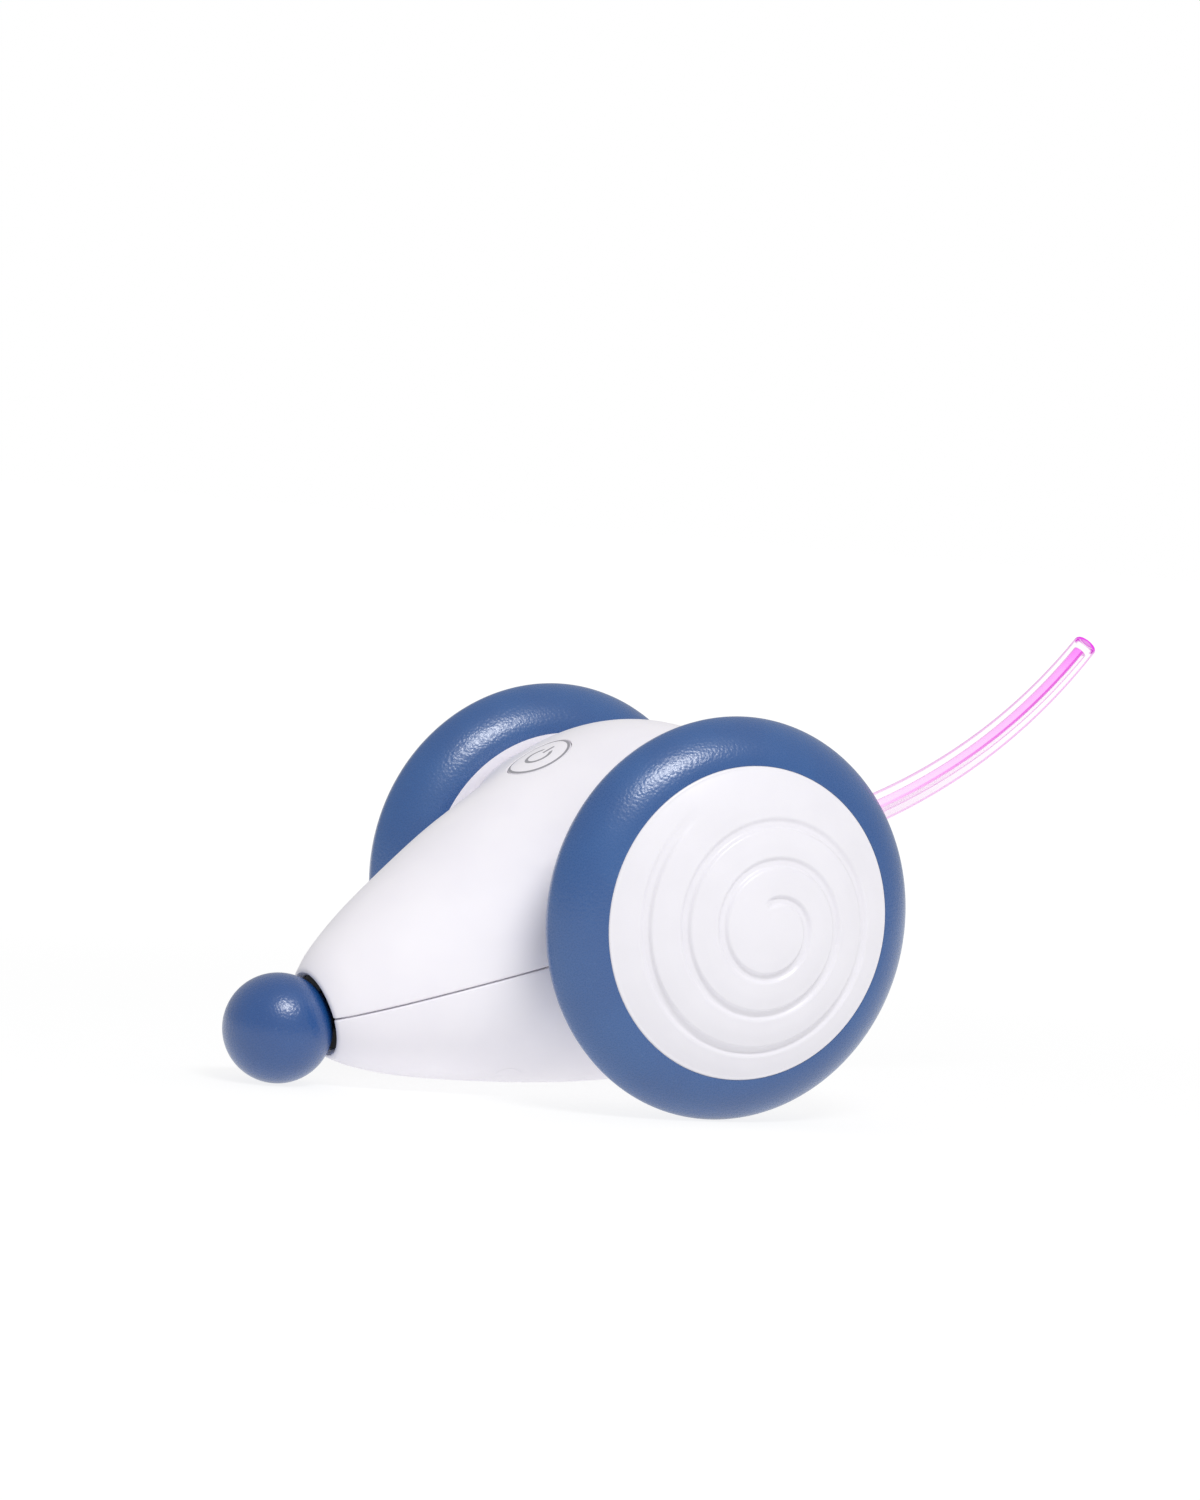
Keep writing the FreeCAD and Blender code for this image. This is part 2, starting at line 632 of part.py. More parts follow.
def wheel_rim():
    """Inner disc, tyre seat and hub in one piece, with ribs between hub and seat."""
    disc_x = TYRE_X[0] + DISC_THICKNESS
    seat_end = TYRE_X[1] - DISC_THICKNESS
    seat_inner = TYRE_SEAT_RADIUS - RIM_WALL
    profile = [(TYRE_X[0], AXLE_RADIUS), (TYRE_X[0], INNER_DISC_RADIUS), (disc_x, INNER_DISC_RADIUS),
               (disc_x, TYRE_SEAT_RADIUS), (seat_end, TYRE_SEAT_RADIUS), (seat_end, seat_inner),
               (disc_x, seat_inner), (disc_x, HUB_RADIUS), (HUB_END_X, HUB_RADIUS), (HUB_END_X, AXLE_RADIUS)]
    rim = revolve_x(profile)
    ribs = []
    for spoke in range(SPOKE_COUNT):
        rib = box((disc_x - 0.5, disc_x + SPOKE_DEPTH), (-SPOKE_THICKNESS / 2, SPOKE_THICKNESS / 2),
                  (HUB_RADIUS - 0.5, seat_inner + 0.5))
        rib.rotate(ORIGIN, X_AXIS, spoke * 360 / SPOKE_COUNT)
        ribs.append(rib)
    return fuse([rim] + ribs)


def dome_radius():
    return (COVER_RADIUS ** 2 + COVER_DOME ** 2) / (2 * COVER_DOME)


def dome_centre_x():
    return TYRE_X[1] + COVER_DOME - dome_radius()


def on_dome(radius, reach):
    """A point on a sphere about the dome's centre, at a reach from the wheel's axis."""
    return Vector(dome_centre_x() + math.sqrt(radius ** 2 - reach ** 2), 0, reach)


def spiral_point(quarters, aside):
    """A point beside the groove's middle line, given in quarter turns from its inner end."""
    angle = math.radians(SPIRAL_FIRST_ANGLE - 90 * quarters)
    reach = SPIRAL_FIRST_RADIUS + SPIRAL_PITCH * quarters / 4 + aside
    y = SPIRAL_CENTRE[0] + reach * math.cos(angle)
    z = SPIRAL_CENTRE[1] + reach * math.sin(angle)
    return Vector(HUB_END_X, y, z)


def groove_side(aside):
    """One side of the groove, seen along the axle, as an arc for each quarter turn."""
    return [Part.Arc(*[spiral_point(quarter + share, aside) for share in (0, 0.5, 1)]).toShape()
            for quarter in range(SPIRAL_QUARTERS)]


def groove_end(quarters, onward):
    """The rounded end of the groove: onward is 1 at its outer end and -1 at its inner end."""
    half = GROOVE_WIDTH / 2
    angle = math.radians(SPIRAL_FIRST_ANGLE - 90 * quarters)
    tip = spiral_point(quarters, 0) + Vector(0, math.sin(angle), -math.cos(angle)) * half * onward
    return Part.Arc(spiral_point(quarters, -half), tip, spiral_point(quarters, half)).toShape()


def groove():
    """The spiral band that is sunk into the dome, from its floor outwards."""
    half = GROOVE_WIDTH / 2
    edges = groove_side(-half) + groove_side(half) + [groove_end(0, -1), groove_end(SPIRAL_QUARTERS, 1)]
    band = Part.Face(Part.Wire(Part.__sortEdges__(edges))).extrude(X_AXIS * COVER_RADIUS)
    return band.cut(Part.makeSphere(dome_radius() - GROOVE_DEPTH, Vector(dome_centre_x(), 0, 0)))


def wheel_cover():
    """Domed outer disc with a spiral groove and a lip that plugs into the rim."""
    outside = dome_radius()
    inside = outside - COVER_WALL
    seat_x = TYRE_X[1] - DISC_THICKNESS
    lip_x = seat_x - COVER_LIP_LENGTH
    lip_inner = COVER_LIP_RADIUS - COVER_LIP_WALL
    dome = Part.Arc(on_dome(outside, COVER_RADIUS), on_dome(outside, COVER_RADIUS / 2), on_dome(outside, 0))
    hollow = Part.Arc(on_dome(inside, 0), on_dome(inside, lip_inner / 2), on_dome(inside, lip_inner))
    lip = [on_dome(inside, lip_inner)] + [Vector(x, 0, radius) for x, radius in (
        (lip_x, lip_inner), (lip_x, COVER_LIP_RADIUS), (seat_x, COVER_LIP_RADIUS), (seat_x, COVER_RADIUS))]
    lip.append(on_dome(outside, COVER_RADIUS))
    middle = Part.makeLine(on_dome(outside, 0), on_dome(inside, 0))
    profile = Part.Wire([dome.toShape(), middle, hollow.toShape()] + Part.makePolygon(lip).Edges)
    return Part.Face(profile).revolve(ORIGIN, X_AXIS, 360).cut(groove())


def wheel_parts():
    fixing = moved(half_turned(aimed_along_x(screw(*WHEEL_SCREW))), HUB_END_X)
    axle = cylinder_x(AXLE_RADIUS, (AXLE_INNER_X, HUB_END_X))
    return {
        "tyre": tyre(),
        "wheel_rim": wheel_rim(),
        "wheel_cover": wheel_cover(),
        "wheel_screw": fixing,
        "axle": axle.cut(fixing),
    }


# Nose
def nose_guide():
    """Black sleeve that closes the nose opening and guides the stem."""
    front = nose_cylinder(GUIDE_RADIUS, (GUIDE_FLANGE_STATIONS[0], GUIDE_FRONT_STATION))
    flange = nose_cylinder(GUIDE_FLANGE_RADIUS, GUIDE_FLANGE_STATIONS)
    sleeve = nose_cylinder(GUIDE_SLEEVE_RADIUS, (GUIDE_BACK_STATION, GUIDE_FLANGE_STATIONS[0]))
    dish = Part.makeSphere(BALL_RADIUS + GUIDE_DISH_GAP, Vector(0, NOSE_TRAVEL - BALL_STATION, 0))
    chamber = nose_cylinder(SPRING_CHAMBER_RADIUS, (SPRING_CHAMBER_STATION, BALL_STATION))
    bore = nose_cylinder(STEM_RADIUS + RUNNING_GAP, (GUIDE_BACK_STATION, BALL_STATION))
    return fuse([front, flange, sleeve]).cut([dish, chamber, bore])


def tangent_arc(start, corner, end):
    """The arc from start to end whose end tangents meet at the corner, as far from one as from the other."""
    middle = (start + end) / 2
    half_chord = (end - start).Length / 2
    towards = corner - middle
    sagitta = half_chord * math.tan(math.atan2(towards.Length, half_chord) / 2)
    return Part.Arc(start, middle + towards.normalize() * sagitta, end).toShape()


def biarc(start, start_way, end, end_way):
    """Two arcs that leave start and reach end in the given directions, and meet smoothly between them."""
    span = end - start
    along = span.dot(start_way + end_way)
    apart = 2 * (1 - start_way.dot(end_way))
    reach = (math.sqrt(along ** 2 + apart * span.dot(span)) - along) / apart
    first_corner = start + start_way * reach
    second_corner = end - end_way * reach
    meeting = (first_corner + second_corner) / 2
    return [tangent_arc(start, first_corner, meeting), tangent_arc(meeting, second_corner, end)]


def nose_spring():
    """Finely faceted wire wound round the stem, between the guide and the stem's collar."""
    start = SPRING_CHAMBER_STATION + SPRING_WIRE_RADIUS
    end = BALL_FLAT_STATION - STEM_COLLAR_LENGTH - SPRING_WIRE_RADIUS
    rise = (end - start) / (SPRING_TURNS * 2 * math.pi)

    def wire_point(angle):
        return Vector(SPRING_RADIUS * math.cos(angle), -start - rise * angle, SPRING_RADIUS * math.sin(angle))

    def wire_way(angle):
        way = Vector(-SPRING_RADIUS * math.sin(angle), -rise, SPRING_RADIUS * math.cos(angle))
        return way.normalize()

    edges = []
    for step in range(round(SPRING_TURNS * 2 * math.pi / SPRING_STEP)):
        low, high = step * SPRING_STEP, (step + 1) * SPRING_STEP
        edges += biarc(wire_point(low), wire_way(low), wire_point(high), wire_way(high))
    circle = Part.makeCircle(SPRING_WIRE_RADIUS, wire_point(0), wire_way(0))
    corners = circle.discretize(SPRING_WIRE_SIDES + 1)
    return Part.Wire(edges).makePipeShell([Part.makePolygon(corners)], True, False)


def nose_parts():
    socket = nose_cylinder(STEM_RADIUS, (0, STEM_FRONT_STATION))
    ball = Part.makeSphere(BALL_RADIUS, Vector(0, -BALL_STATION, 0))
    ball = ball.cut([socket, nose_cylinder(BALL_RADIUS, (0, BALL_FLAT_STATION))])
    collar = (BALL_FLAT_STATION - STEM_COLLAR_LENGTH, BALL_FLAT_STATION)
    stop = (BUMP_PLUNGER_STATIONS[1], GUIDE_BACK_STATION - RUNNING_GAP)
    stem = fuse([nose_cylinder(STEM_RADIUS, (stop[0], STEM_FRONT_STATION)),
                 nose_cylinder(STEM_COLLAR_RADIUS, collar), nose_cylinder(STEM_COLLAR_RADIUS, stop)])
    return {
        "nose_ball": ball,
        "nose_stem": stem,
        "nose_spring": nose_spring(),
        "bump_plunger": nose_cylinder(BUMP_PLUNGER_RADIUS, BUMP_PLUNGER_STATIONS),
    }


def bump_switch():
    half = BUMP_SWITCH_HALF
    case = box((-half, half), (-BUMP_SWITCH_STATIONS[1], -BUMP_SWITCH_STATIONS[0]), (-half, half))
    bore_start = BUMP_PLUNGER_STATIONS[0] - NOSE_TRAVEL - END_GAP
    return case.cut(nose_cylinder(BUMP_PLUNGER_RADIUS + RUNNING_GAP, (bore_start, BUMP_SWITCH_STATIONS[1])))


# Key, boards, battery and socket
def key_parts(outer):
    top = in_key_frame(cylinder_z(KEY_RADIUS, (-KEY_FLANGE_DEPTHS[0], KEY_PROUD))).common(outer)
    flange = cylinder_z(KEY_FLANGE_RADIUS, (-KEY_FLANGE_DEPTHS[1], -KEY_FLANGE_DEPTHS[0]))
    stem = cylinder_z(KEY_STEM_RADIUS, (-SWITCH_PLUNGER_DEPTHS[0], -KEY_FLANGE_DEPTHS[1]))
    plunger = cylinder_z(SWITCH_PLUNGER_RADIUS, (-SWITCH_PLUNGER_DEPTHS[1], -SWITCH_PLUNGER_DEPTHS[0]))
    return {
        "power_key": fuse([top, in_key_frame(flange), in_key_frame(stem)]),
        "key_plunger": in_key_frame(plunger),
    }


def board_part(x, y, width, length, height):
    """A part on top of the board, with its middle at x and y."""
    z_range = (-BOARD_DEPTH, height - BOARD_DEPTH)
    return box((x - width / 2, x + width / 2), (y - length / 2, y + length / 2), z_range)


def board_parts():
    """The main board hangs under the top of the body, square to the key."""
    bottom = -BOARD_DEPTH - BOARD_THICKNESS
    board = box((-BOARD_HALF_WIDTH, BOARD_HALF_WIDTH), BOARD_REACH, (bottom, -BOARD_DEPTH))
    screws = [moved(screw(*BOARD_SCREW), x, y, bottom) for x, y in BOARD_SCREWS]
    switch = board_part(0, 0, 2 * SWITCH_HALF, 2 * SWITCH_HALF, SWITCH_HEIGHT)
    bore_end = -SWITCH_PLUNGER_DEPTHS[1] - KEY_TRAVEL - END_GAP
    bore = cylinder_z(SWITCH_PLUNGER_RADIUS + RUNNING_GAP, (bore_end, 0))
    return {
        "circuit_board": in_key_frame(board.cut(screws)),
        "board_screws": in_key_frame(Part.makeCompound(screws)),
        "power_switch": in_key_frame(switch.cut(bore)),
        "board_chips": in_key_frame(Part.makeCompound([board_part(*chip) for chip in CHIPS])),
    }


def battery_parts():
    side_z = (BATTERY_Z[0] - TRAY_FLOOR, BATTERY_Z[0] + TRAY_SIDE_HEIGHT)
    tray = box((-FRAME_X[0], FRAME_X[0]), (BATTERY_Y[0] - 1, BATTERY_Y[1] + 1), side_z)
    battery_x = (-BATTERY_HALF_WIDTH, BATTERY_HALF_WIDTH)
    room = box(battery_x, BATTERY_Y, (BATTERY_Z[0], FAR))
    cell = box(battery_x, BATTERY_Y, BATTERY_Z)
    long_edges = [edge for edge in cell.Edges if abs(edge.tangentAt(0).y) > 0.9]
    corner_x, corner_y = TRAY_CORNER
    front_corners = [box(side, (-FAR, corner_y), (0, FAR)) for side in ((corner_x, FAR), (-FAR, -corner_x))]
    return {
        "battery": cell.makeFillet(BATTERY_ROUNDING, long_edges),
        "battery_tray": tray.cut([room] + front_corners),
    }


def socket_parts():
    """The charging socket looks straight back, and stands on a small upright board."""
    shell = slot_y(SOCKET_HALF_WIDTH, SOCKET_HALF_HEIGHT, SOCKET_Y)
    mouth_y = (SOCKET_Y[0] + SOCKET_BACK, SOCKET_Y[1])
    mouth = slot_y(SOCKET_HALF_WIDTH - SOCKET_WALL, SOCKET_HALF_HEIGHT - SOCKET_WALL, mouth_y)
    half, thick = SOCKET_TONGUE
    tongue = box((-half, half), (SOCKET_Y[0] + SOCKET_WALL, SOCKET_Y[1] - SOCKET_BACK), (-thick, thick))
    board = box((-CHARGE_BOARD_HALF_WIDTH, CHARGE_BOARD_HALF_WIDTH),
                (SOCKET_Y[0] - BOARD_THICKNESS, SOCKET_Y[0]), CHARGE_BOARD_Z)
    return {
        "charge_socket": levelled(fuse([shell.cut(mouth), tongue])),
        "charge_board": levelled(board),
    }


# Body shells
def shell_ribs(core):
    """Ribs on both shells that hold the nose guide, the gearboxes and the tail's holder."""
    flange_back, flange_front = GUIDE_FLANGE_STATIONS
    whole = (-FAR, FAR)
    tail_half = (-TAIL_RIB_HALF, TAIL_RIB_HALF)
    guide_front = box(whole, (-flange_front - GUIDE_RIB, -flange_front), whole)
    guide_back = box(whole, (-flange_back, GUIDE_RIB - flange_back), whole)
    tail = box(tail_half, (TAIL_ROOT_Y, TAIL_ROOT_Y + TAIL_RIB), tail_half)
    ribs = [guide_front.cut(nose_cylinder(GUIDE_RADIUS, (0, FAR))),
            guide_back.cut(nose_cylinder(GUIDE_SLEEVE_RADIUS, (0, FAR))),
            tail.cut(cylinder_y(TAIL_HOLDER_RADIUS, (0, FAR)))]
    for x_range in (FRAME_X, COVER_PLATE_X):
        rib = box(x_range, (-GEARBOX_RIB_HALF, GEARBOX_RIB_HALF), whole).cut(gearbox_plate(x_range))
        ribs += [rib, mirrored(rib)]
    return [rib.common(core) for rib in ribs]


def lower_extras(core):
    """Posts of the lower shell that carry the bump switch and the charge board."""
    switch_back, switch_front = BUMP_SWITCH_STATIONS
    switch_post = box((-SWITCH_POST_HALF, SWITCH_POST_HALF), (-switch_front, -switch_back),
                      (-FAR, -BUMP_SWITCH_HALF))
    board_post = box((-CHARGE_POST_HALF, CHARGE_POST_HALF),
                     (SOCKET_Y[0] - BOARD_THICKNESS, SOCKET_Y[0]), (-FAR, CHARGE_BOARD_Z[0]))
    return [switch_post.common(core), levelled(board_post).common(core)]


def upper_extras(core):
    """Columns of the upper shell that the board is screwed to."""
    return [in_key_frame(cylinder_z(SMALL_BOSS_RADIUS, (-BOARD_DEPTH, FAR), x, y)).common(core)
            for x, y in BOARD_SCREWS]


def shell_openings(tail):
    socket = slot_y(SOCKET_HALF_WIDTH + SOCKET_CLEARANCE, SOCKET_HALF_HEIGHT + SOCKET_CLEARANCE,
                    (SOCKET_Y[0], FAR))
    wider, depth = NOSE_MOUTH_CHAMFER
    chamfer = Part.makeCone(NOSE_MOUTH_RADIUS, NOSE_MOUTH_RADIUS + 2 * wider, 2 * depth,
                            Vector(0, depth - NOSE_RIM_STATION, 0), Y_AXIS * -1)
    return [
        nose_cylinder(NOSE_MOUTH_RADIUS, (NOSE_RIM_STATION - NOSE_MOUTH_DEPTH, FAR)),
        chamfer,
        cylinder_x(BUSH_RADIUS, (-FAR, FAR)),
        in_key_frame(cylinder_z(KEY_HOLE_RADIUS, (-KEY_HOLE_DEPTH, KEY_PROUD))),
        levelled(socket),
        tail,
    ]


def shell_half(side, forms, extras, screws):
    """One half of the body, above the parting plane for side 1 and below it for side -1."""
    outer, rebate, lip, inner = forms
    reach = sorted((side * PARTING_GAP / 2, side * FAR))
    half_space = box((-FAR, FAR), (-FAR, FAR), reach)
    bosses = [cylinder_z(BOSS_RADIUS, (-FAR, FAR), x, y).common(rebate) for x, y in SHELL_SCREWS]
    half = fuse([outer.cut(inner)] + shell_ribs(rebate) + bosses + extras).common(half_space)
    if side > 0:
        slab = box((-FAR, FAR), (-FAR, FAR), (0, LIP_HEIGHT + LIP_PLAY))
        half = half.cut(rebate.cut(inner).common(slab))
    else:
        slab = box((-FAR, FAR), (-FAR, FAR), (-1, LIP_HEIGHT))
        half = half.fuse(lip.cut(inner).common(slab))
    return half.cut(screws)


def shell_parts(outer, tail):
    rebate = body_form(LIP_INSET - LIP_PLAY)
    forms = (outer, rebate, body_form(LIP_INSET), body_form(WALL))
    screws = [moved(screw(*SHELL_SCREW), x, y, SHELL_SCREW_SEAT) for x, y in SHELL_SCREWS]
    wells = [cylinder_z(SCREW_WELL_RADIUS, (-FAR, SHELL_SCREW_SEAT), x, y) for x, y in SHELL_SCREWS]
    plugs = [cylinder_z(SCREW_WELL_RADIUS, (-FAR, SCREW_PLUG_TOP), x, y).common(outer)
             for x, y in SHELL_SCREWS]
    pilot_end = BOARD_SCREW[3] - BOARD_DEPTH - BOARD_THICKNESS
    board_pilots = [in_key_frame(cylinder_z(BOARD_SCREW[0], (-BOARD_DEPTH, pilot_end), x, y))
                    for x, y in BOARD_SCREWS]
    openings = shell_openings(tail)
    return {
        "upper_shell": shell_half(1, forms, upper_extras(rebate), screws + board_pilots + openings),
        "lower_shell": shell_half(-1, forms, lower_extras(rebate), screws + wells + openings),
        "shell_screws": Part.makeCompound(screws),
        "screw_plugs": Part.makeCompound(plugs),
    }


# Assembly
def axle_place_y():
    """Place of the axle that puts the middle of the whole toy's length at y = 0."""
    pitch = math.radians(PITCH)
    nose_reach = BALL_STATION * math.cos(pitch) + BALL_RADIUS
    y, z, slope = tail_point(tail_length())
    angle = slope + pitch
    tail_tip = y * math.cos(pitch) - z * math.sin(pitch)
    tail_tip += (TAIL_TIP_RADIUS - TAIL_TIP_ROUNDING) * math.sin(angle)
    tail_tip += TAIL_TIP_ROUNDING * (1 - math.cos(angle))
    return (nose_reach - tail_tip) / 2


def all_parts():
    outer = body_form(0)
    tail = tail_parts()
    parts = {}
    parts.update(shell_parts(outer, tail["tail_tube"].fuse(tail["tail_light_guide"])))
    parts.update(tail)
    parts.update(key_parts(outer))
    parts.update(board_parts())
    parts.update(battery_parts())
    parts.update(socket_parts())
    parts.update(nose_parts())
    parts["nose_guide"] = nose_guide()
    parts["bump_switch"] = bump_switch()
    for name, shape in wheel_parts().items():
        parts[name + "_left"] = shape
        parts[name + "_right"] = half_turned(shape)
    room = body_form(WALL + GEARBOX_TRIM)
    for name, shape in {**gear_parts(), **gearbox_parts(room)}.items():
        parts[name + "_left"] = shape
        parts[name + "_right"] = mirrored(shape)
    return parts


def main():
    os.makedirs("parts", exist_ok=True)
    pose = Placement(Vector(0, axle_place_y(), WHEEL_RADIUS), Rotation(X_AXIS, PITCH))
    for name, shape in all_parts().items():
        solid = shape.copy()
        solid.Placement = pose.multiply(solid.Placement)
        solid.exportStep("parts/" + name + ".step")


main()
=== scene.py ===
"""Looks of the robotic mouse cat toy: its surfaces, the floor, the light and the camera.

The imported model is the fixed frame, in metres. The toy stands on the floor, z = 0, with its nose towards -Y,
its tail towards +Y and its axle along X. New pieces are shaped in millimetres in the body's own frame: its
origin is the axle's centre, y runs back along the body and z is square to both. A station is a distance
forward of the axle, so y = -station. The toy's own left-hand side is +X.
"""

import json
import logging
import math
from collections.abc import Callable, Iterable, Sequence
from dataclasses import dataclass, field
from enum import Enum
from functools import cached_property, reduce
from itertools import product

import bmesh
import bpy
from mathutils import Matrix, Vector
from mathutils.bvhtree import BVHTree

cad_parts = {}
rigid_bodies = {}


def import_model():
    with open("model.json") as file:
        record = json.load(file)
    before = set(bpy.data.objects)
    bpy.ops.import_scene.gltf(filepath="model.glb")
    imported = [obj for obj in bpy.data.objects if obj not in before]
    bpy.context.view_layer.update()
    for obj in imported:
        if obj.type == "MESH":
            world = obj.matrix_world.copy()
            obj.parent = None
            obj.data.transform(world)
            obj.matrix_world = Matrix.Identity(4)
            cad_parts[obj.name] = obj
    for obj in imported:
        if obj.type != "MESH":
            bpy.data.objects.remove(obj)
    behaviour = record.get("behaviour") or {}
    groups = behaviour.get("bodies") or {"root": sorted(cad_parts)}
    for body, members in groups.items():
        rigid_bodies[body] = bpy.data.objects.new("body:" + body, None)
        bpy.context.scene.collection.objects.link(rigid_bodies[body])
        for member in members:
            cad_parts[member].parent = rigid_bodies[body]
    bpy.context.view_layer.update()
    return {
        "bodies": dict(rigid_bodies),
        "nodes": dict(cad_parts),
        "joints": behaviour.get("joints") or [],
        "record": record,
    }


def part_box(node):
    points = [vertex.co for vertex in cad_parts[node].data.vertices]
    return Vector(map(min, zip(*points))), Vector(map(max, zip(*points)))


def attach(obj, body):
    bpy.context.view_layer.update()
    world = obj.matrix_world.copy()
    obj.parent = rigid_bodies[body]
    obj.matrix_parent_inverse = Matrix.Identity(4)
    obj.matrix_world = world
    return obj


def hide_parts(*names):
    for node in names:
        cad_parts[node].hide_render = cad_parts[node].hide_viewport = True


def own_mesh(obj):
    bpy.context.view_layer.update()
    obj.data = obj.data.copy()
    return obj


LOG = logging.getLogger("toy")
Point = tuple[float, float]
Colour = tuple[float, float, float, float]
Mesh = bmesh.types.BMesh

# One millimetre in metres
MM = 0.001

# How near two points count as one, in millimetres, and the same where each was reached by its own sum
WELD = 0.0005
LOOSE_WELD = 0.002

# Bow under which an elliptic arc counts as straight
STRAIGHT = 1e-9

# Clouds in a surface's colour: the finer layers of their noise, and the noise at which each colour is pure
CLOUD_DETAIL = 3
CLOUD_RANGE = (0.3, 0.7)

# A Mix node's sockets for colours, by number, because other ones have the same names
MIX_FIRST, MIX_SECOND, MIX_RESULT = 6, 7, 2

# Layer of the body's mesh that marks the vertices on its corners
CORNER = "corner"

# Angle in degrees over which an edge of a spun piece stays sharp
SHARP_ANGLE = 50


class Side(Enum):
    """The toy's two sides, as the sign of x."""

    LEFT = 1
    RIGHT = -1

    def named(self, stem: str) -> str:
        """A node or body name with this side's ending."""
        return f"{stem}_{self.name.lower()}"


class Grain(Enum):
    """How a surface is broken up close to, as how many times finer its grain is along each axis."""

    MOULDED = (1, 1, 1)
    BRUSHED = (1, 14, 14)
    TURNED = (14, 1, 1)


def linear(red: float, green: float, blue: float) -> Colour:
    """Turn a screen colour from 0 to 255 into the renderer's own scale.

    Args:
        red: Red as a screen shows it.
        green: Green as a screen shows it.
        blue: Blue as a screen shows it.

    Returns:
        Red, green, blue and a full alpha.
    """
    parts = []
    for value in (red / 255, green / 255, blue / 255):
        parts.append(value / 12.92 if value <= 0.04045 else ((value + 0.055) / 1.055) ** 2.4)
    return parts[0], parts[1], parts[2], 1.0


# Shader graph
def arithmetic(operation: str, swapped: bool = False) -> Callable:
    """Make a method of Number that adds one Math node.

    Args:
        operation: The node's operation.
        swapped: Whether the number comes after the others.

    Returns:
        The method.
    """
    def method(number: "Number", *others: "Number | float") -> "Number":
        """Work the operation out with the number and the others."""
        return number.maths(operation, *((*others, number) if swapped else (number, *others)))
    return method


class Number:
    """A number that changes over a surface, on which plain arithmetic can be done."""

    def __init__(self, graph: "Graph", socket: bpy.types.NodeSocket) -> None:
        """Wrap one output socket of a graph."""
        self.graph = graph
        self.socket = socket

    def maths(self, operation: str, *values: "Number | float") -> "Number":
        """Add one Math node.

        Args:
            operation: The node's operation.
            values: Its inputs, in order.

        Returns:
            The node's result.
        """
        node = self.graph.node("ShaderNodeMath", {"operation": operation}, dict(enumerate(values)))
        return Number(self.graph, node.outputs[0])

    __add__, __radd__ = arithmetic("ADD"), arithmetic("ADD", swapped=True)
    __sub__, __rsub__ = arithmetic("SUBTRACT"), arithmetic("SUBTRACT", swapped=True)
    __mul__, __pow__ = arithmetic("MULTIPLY"), arithmetic("POWER")
    __abs__, most = arithmetic("ABSOLUTE"), arithmetic("MAXIMUM")

    def rise(self, low: float, high: float) -> "Number":
        """A soft step from 0 at low to 1 at high.

        Args:
            low: The value below which the step is 0.
            high: The value above which the step is 1.

        Returns:
            The step.
        """
        node = self.graph.node("ShaderNodeMapRange", {"interpolation_type": "SMOOTHSTEP"},
                               {"Value": self, "From Min": low, "From Max": high})
        return Number(self.graph, node.outputs["Result"])

    def band(self, middle: float, half: float, soft: float) -> "Number":
        """A stripe of full strength round one value.

        Args:
            middle: The value in the middle of the stripe.
            half: Half the stripe's width.
            soft: The width of its soft edge.

        Returns:
            1 inside the stripe and 0 outside.
        """
        return 1 - abs(self - middle).rise(half - soft / 2, half + soft / 2)


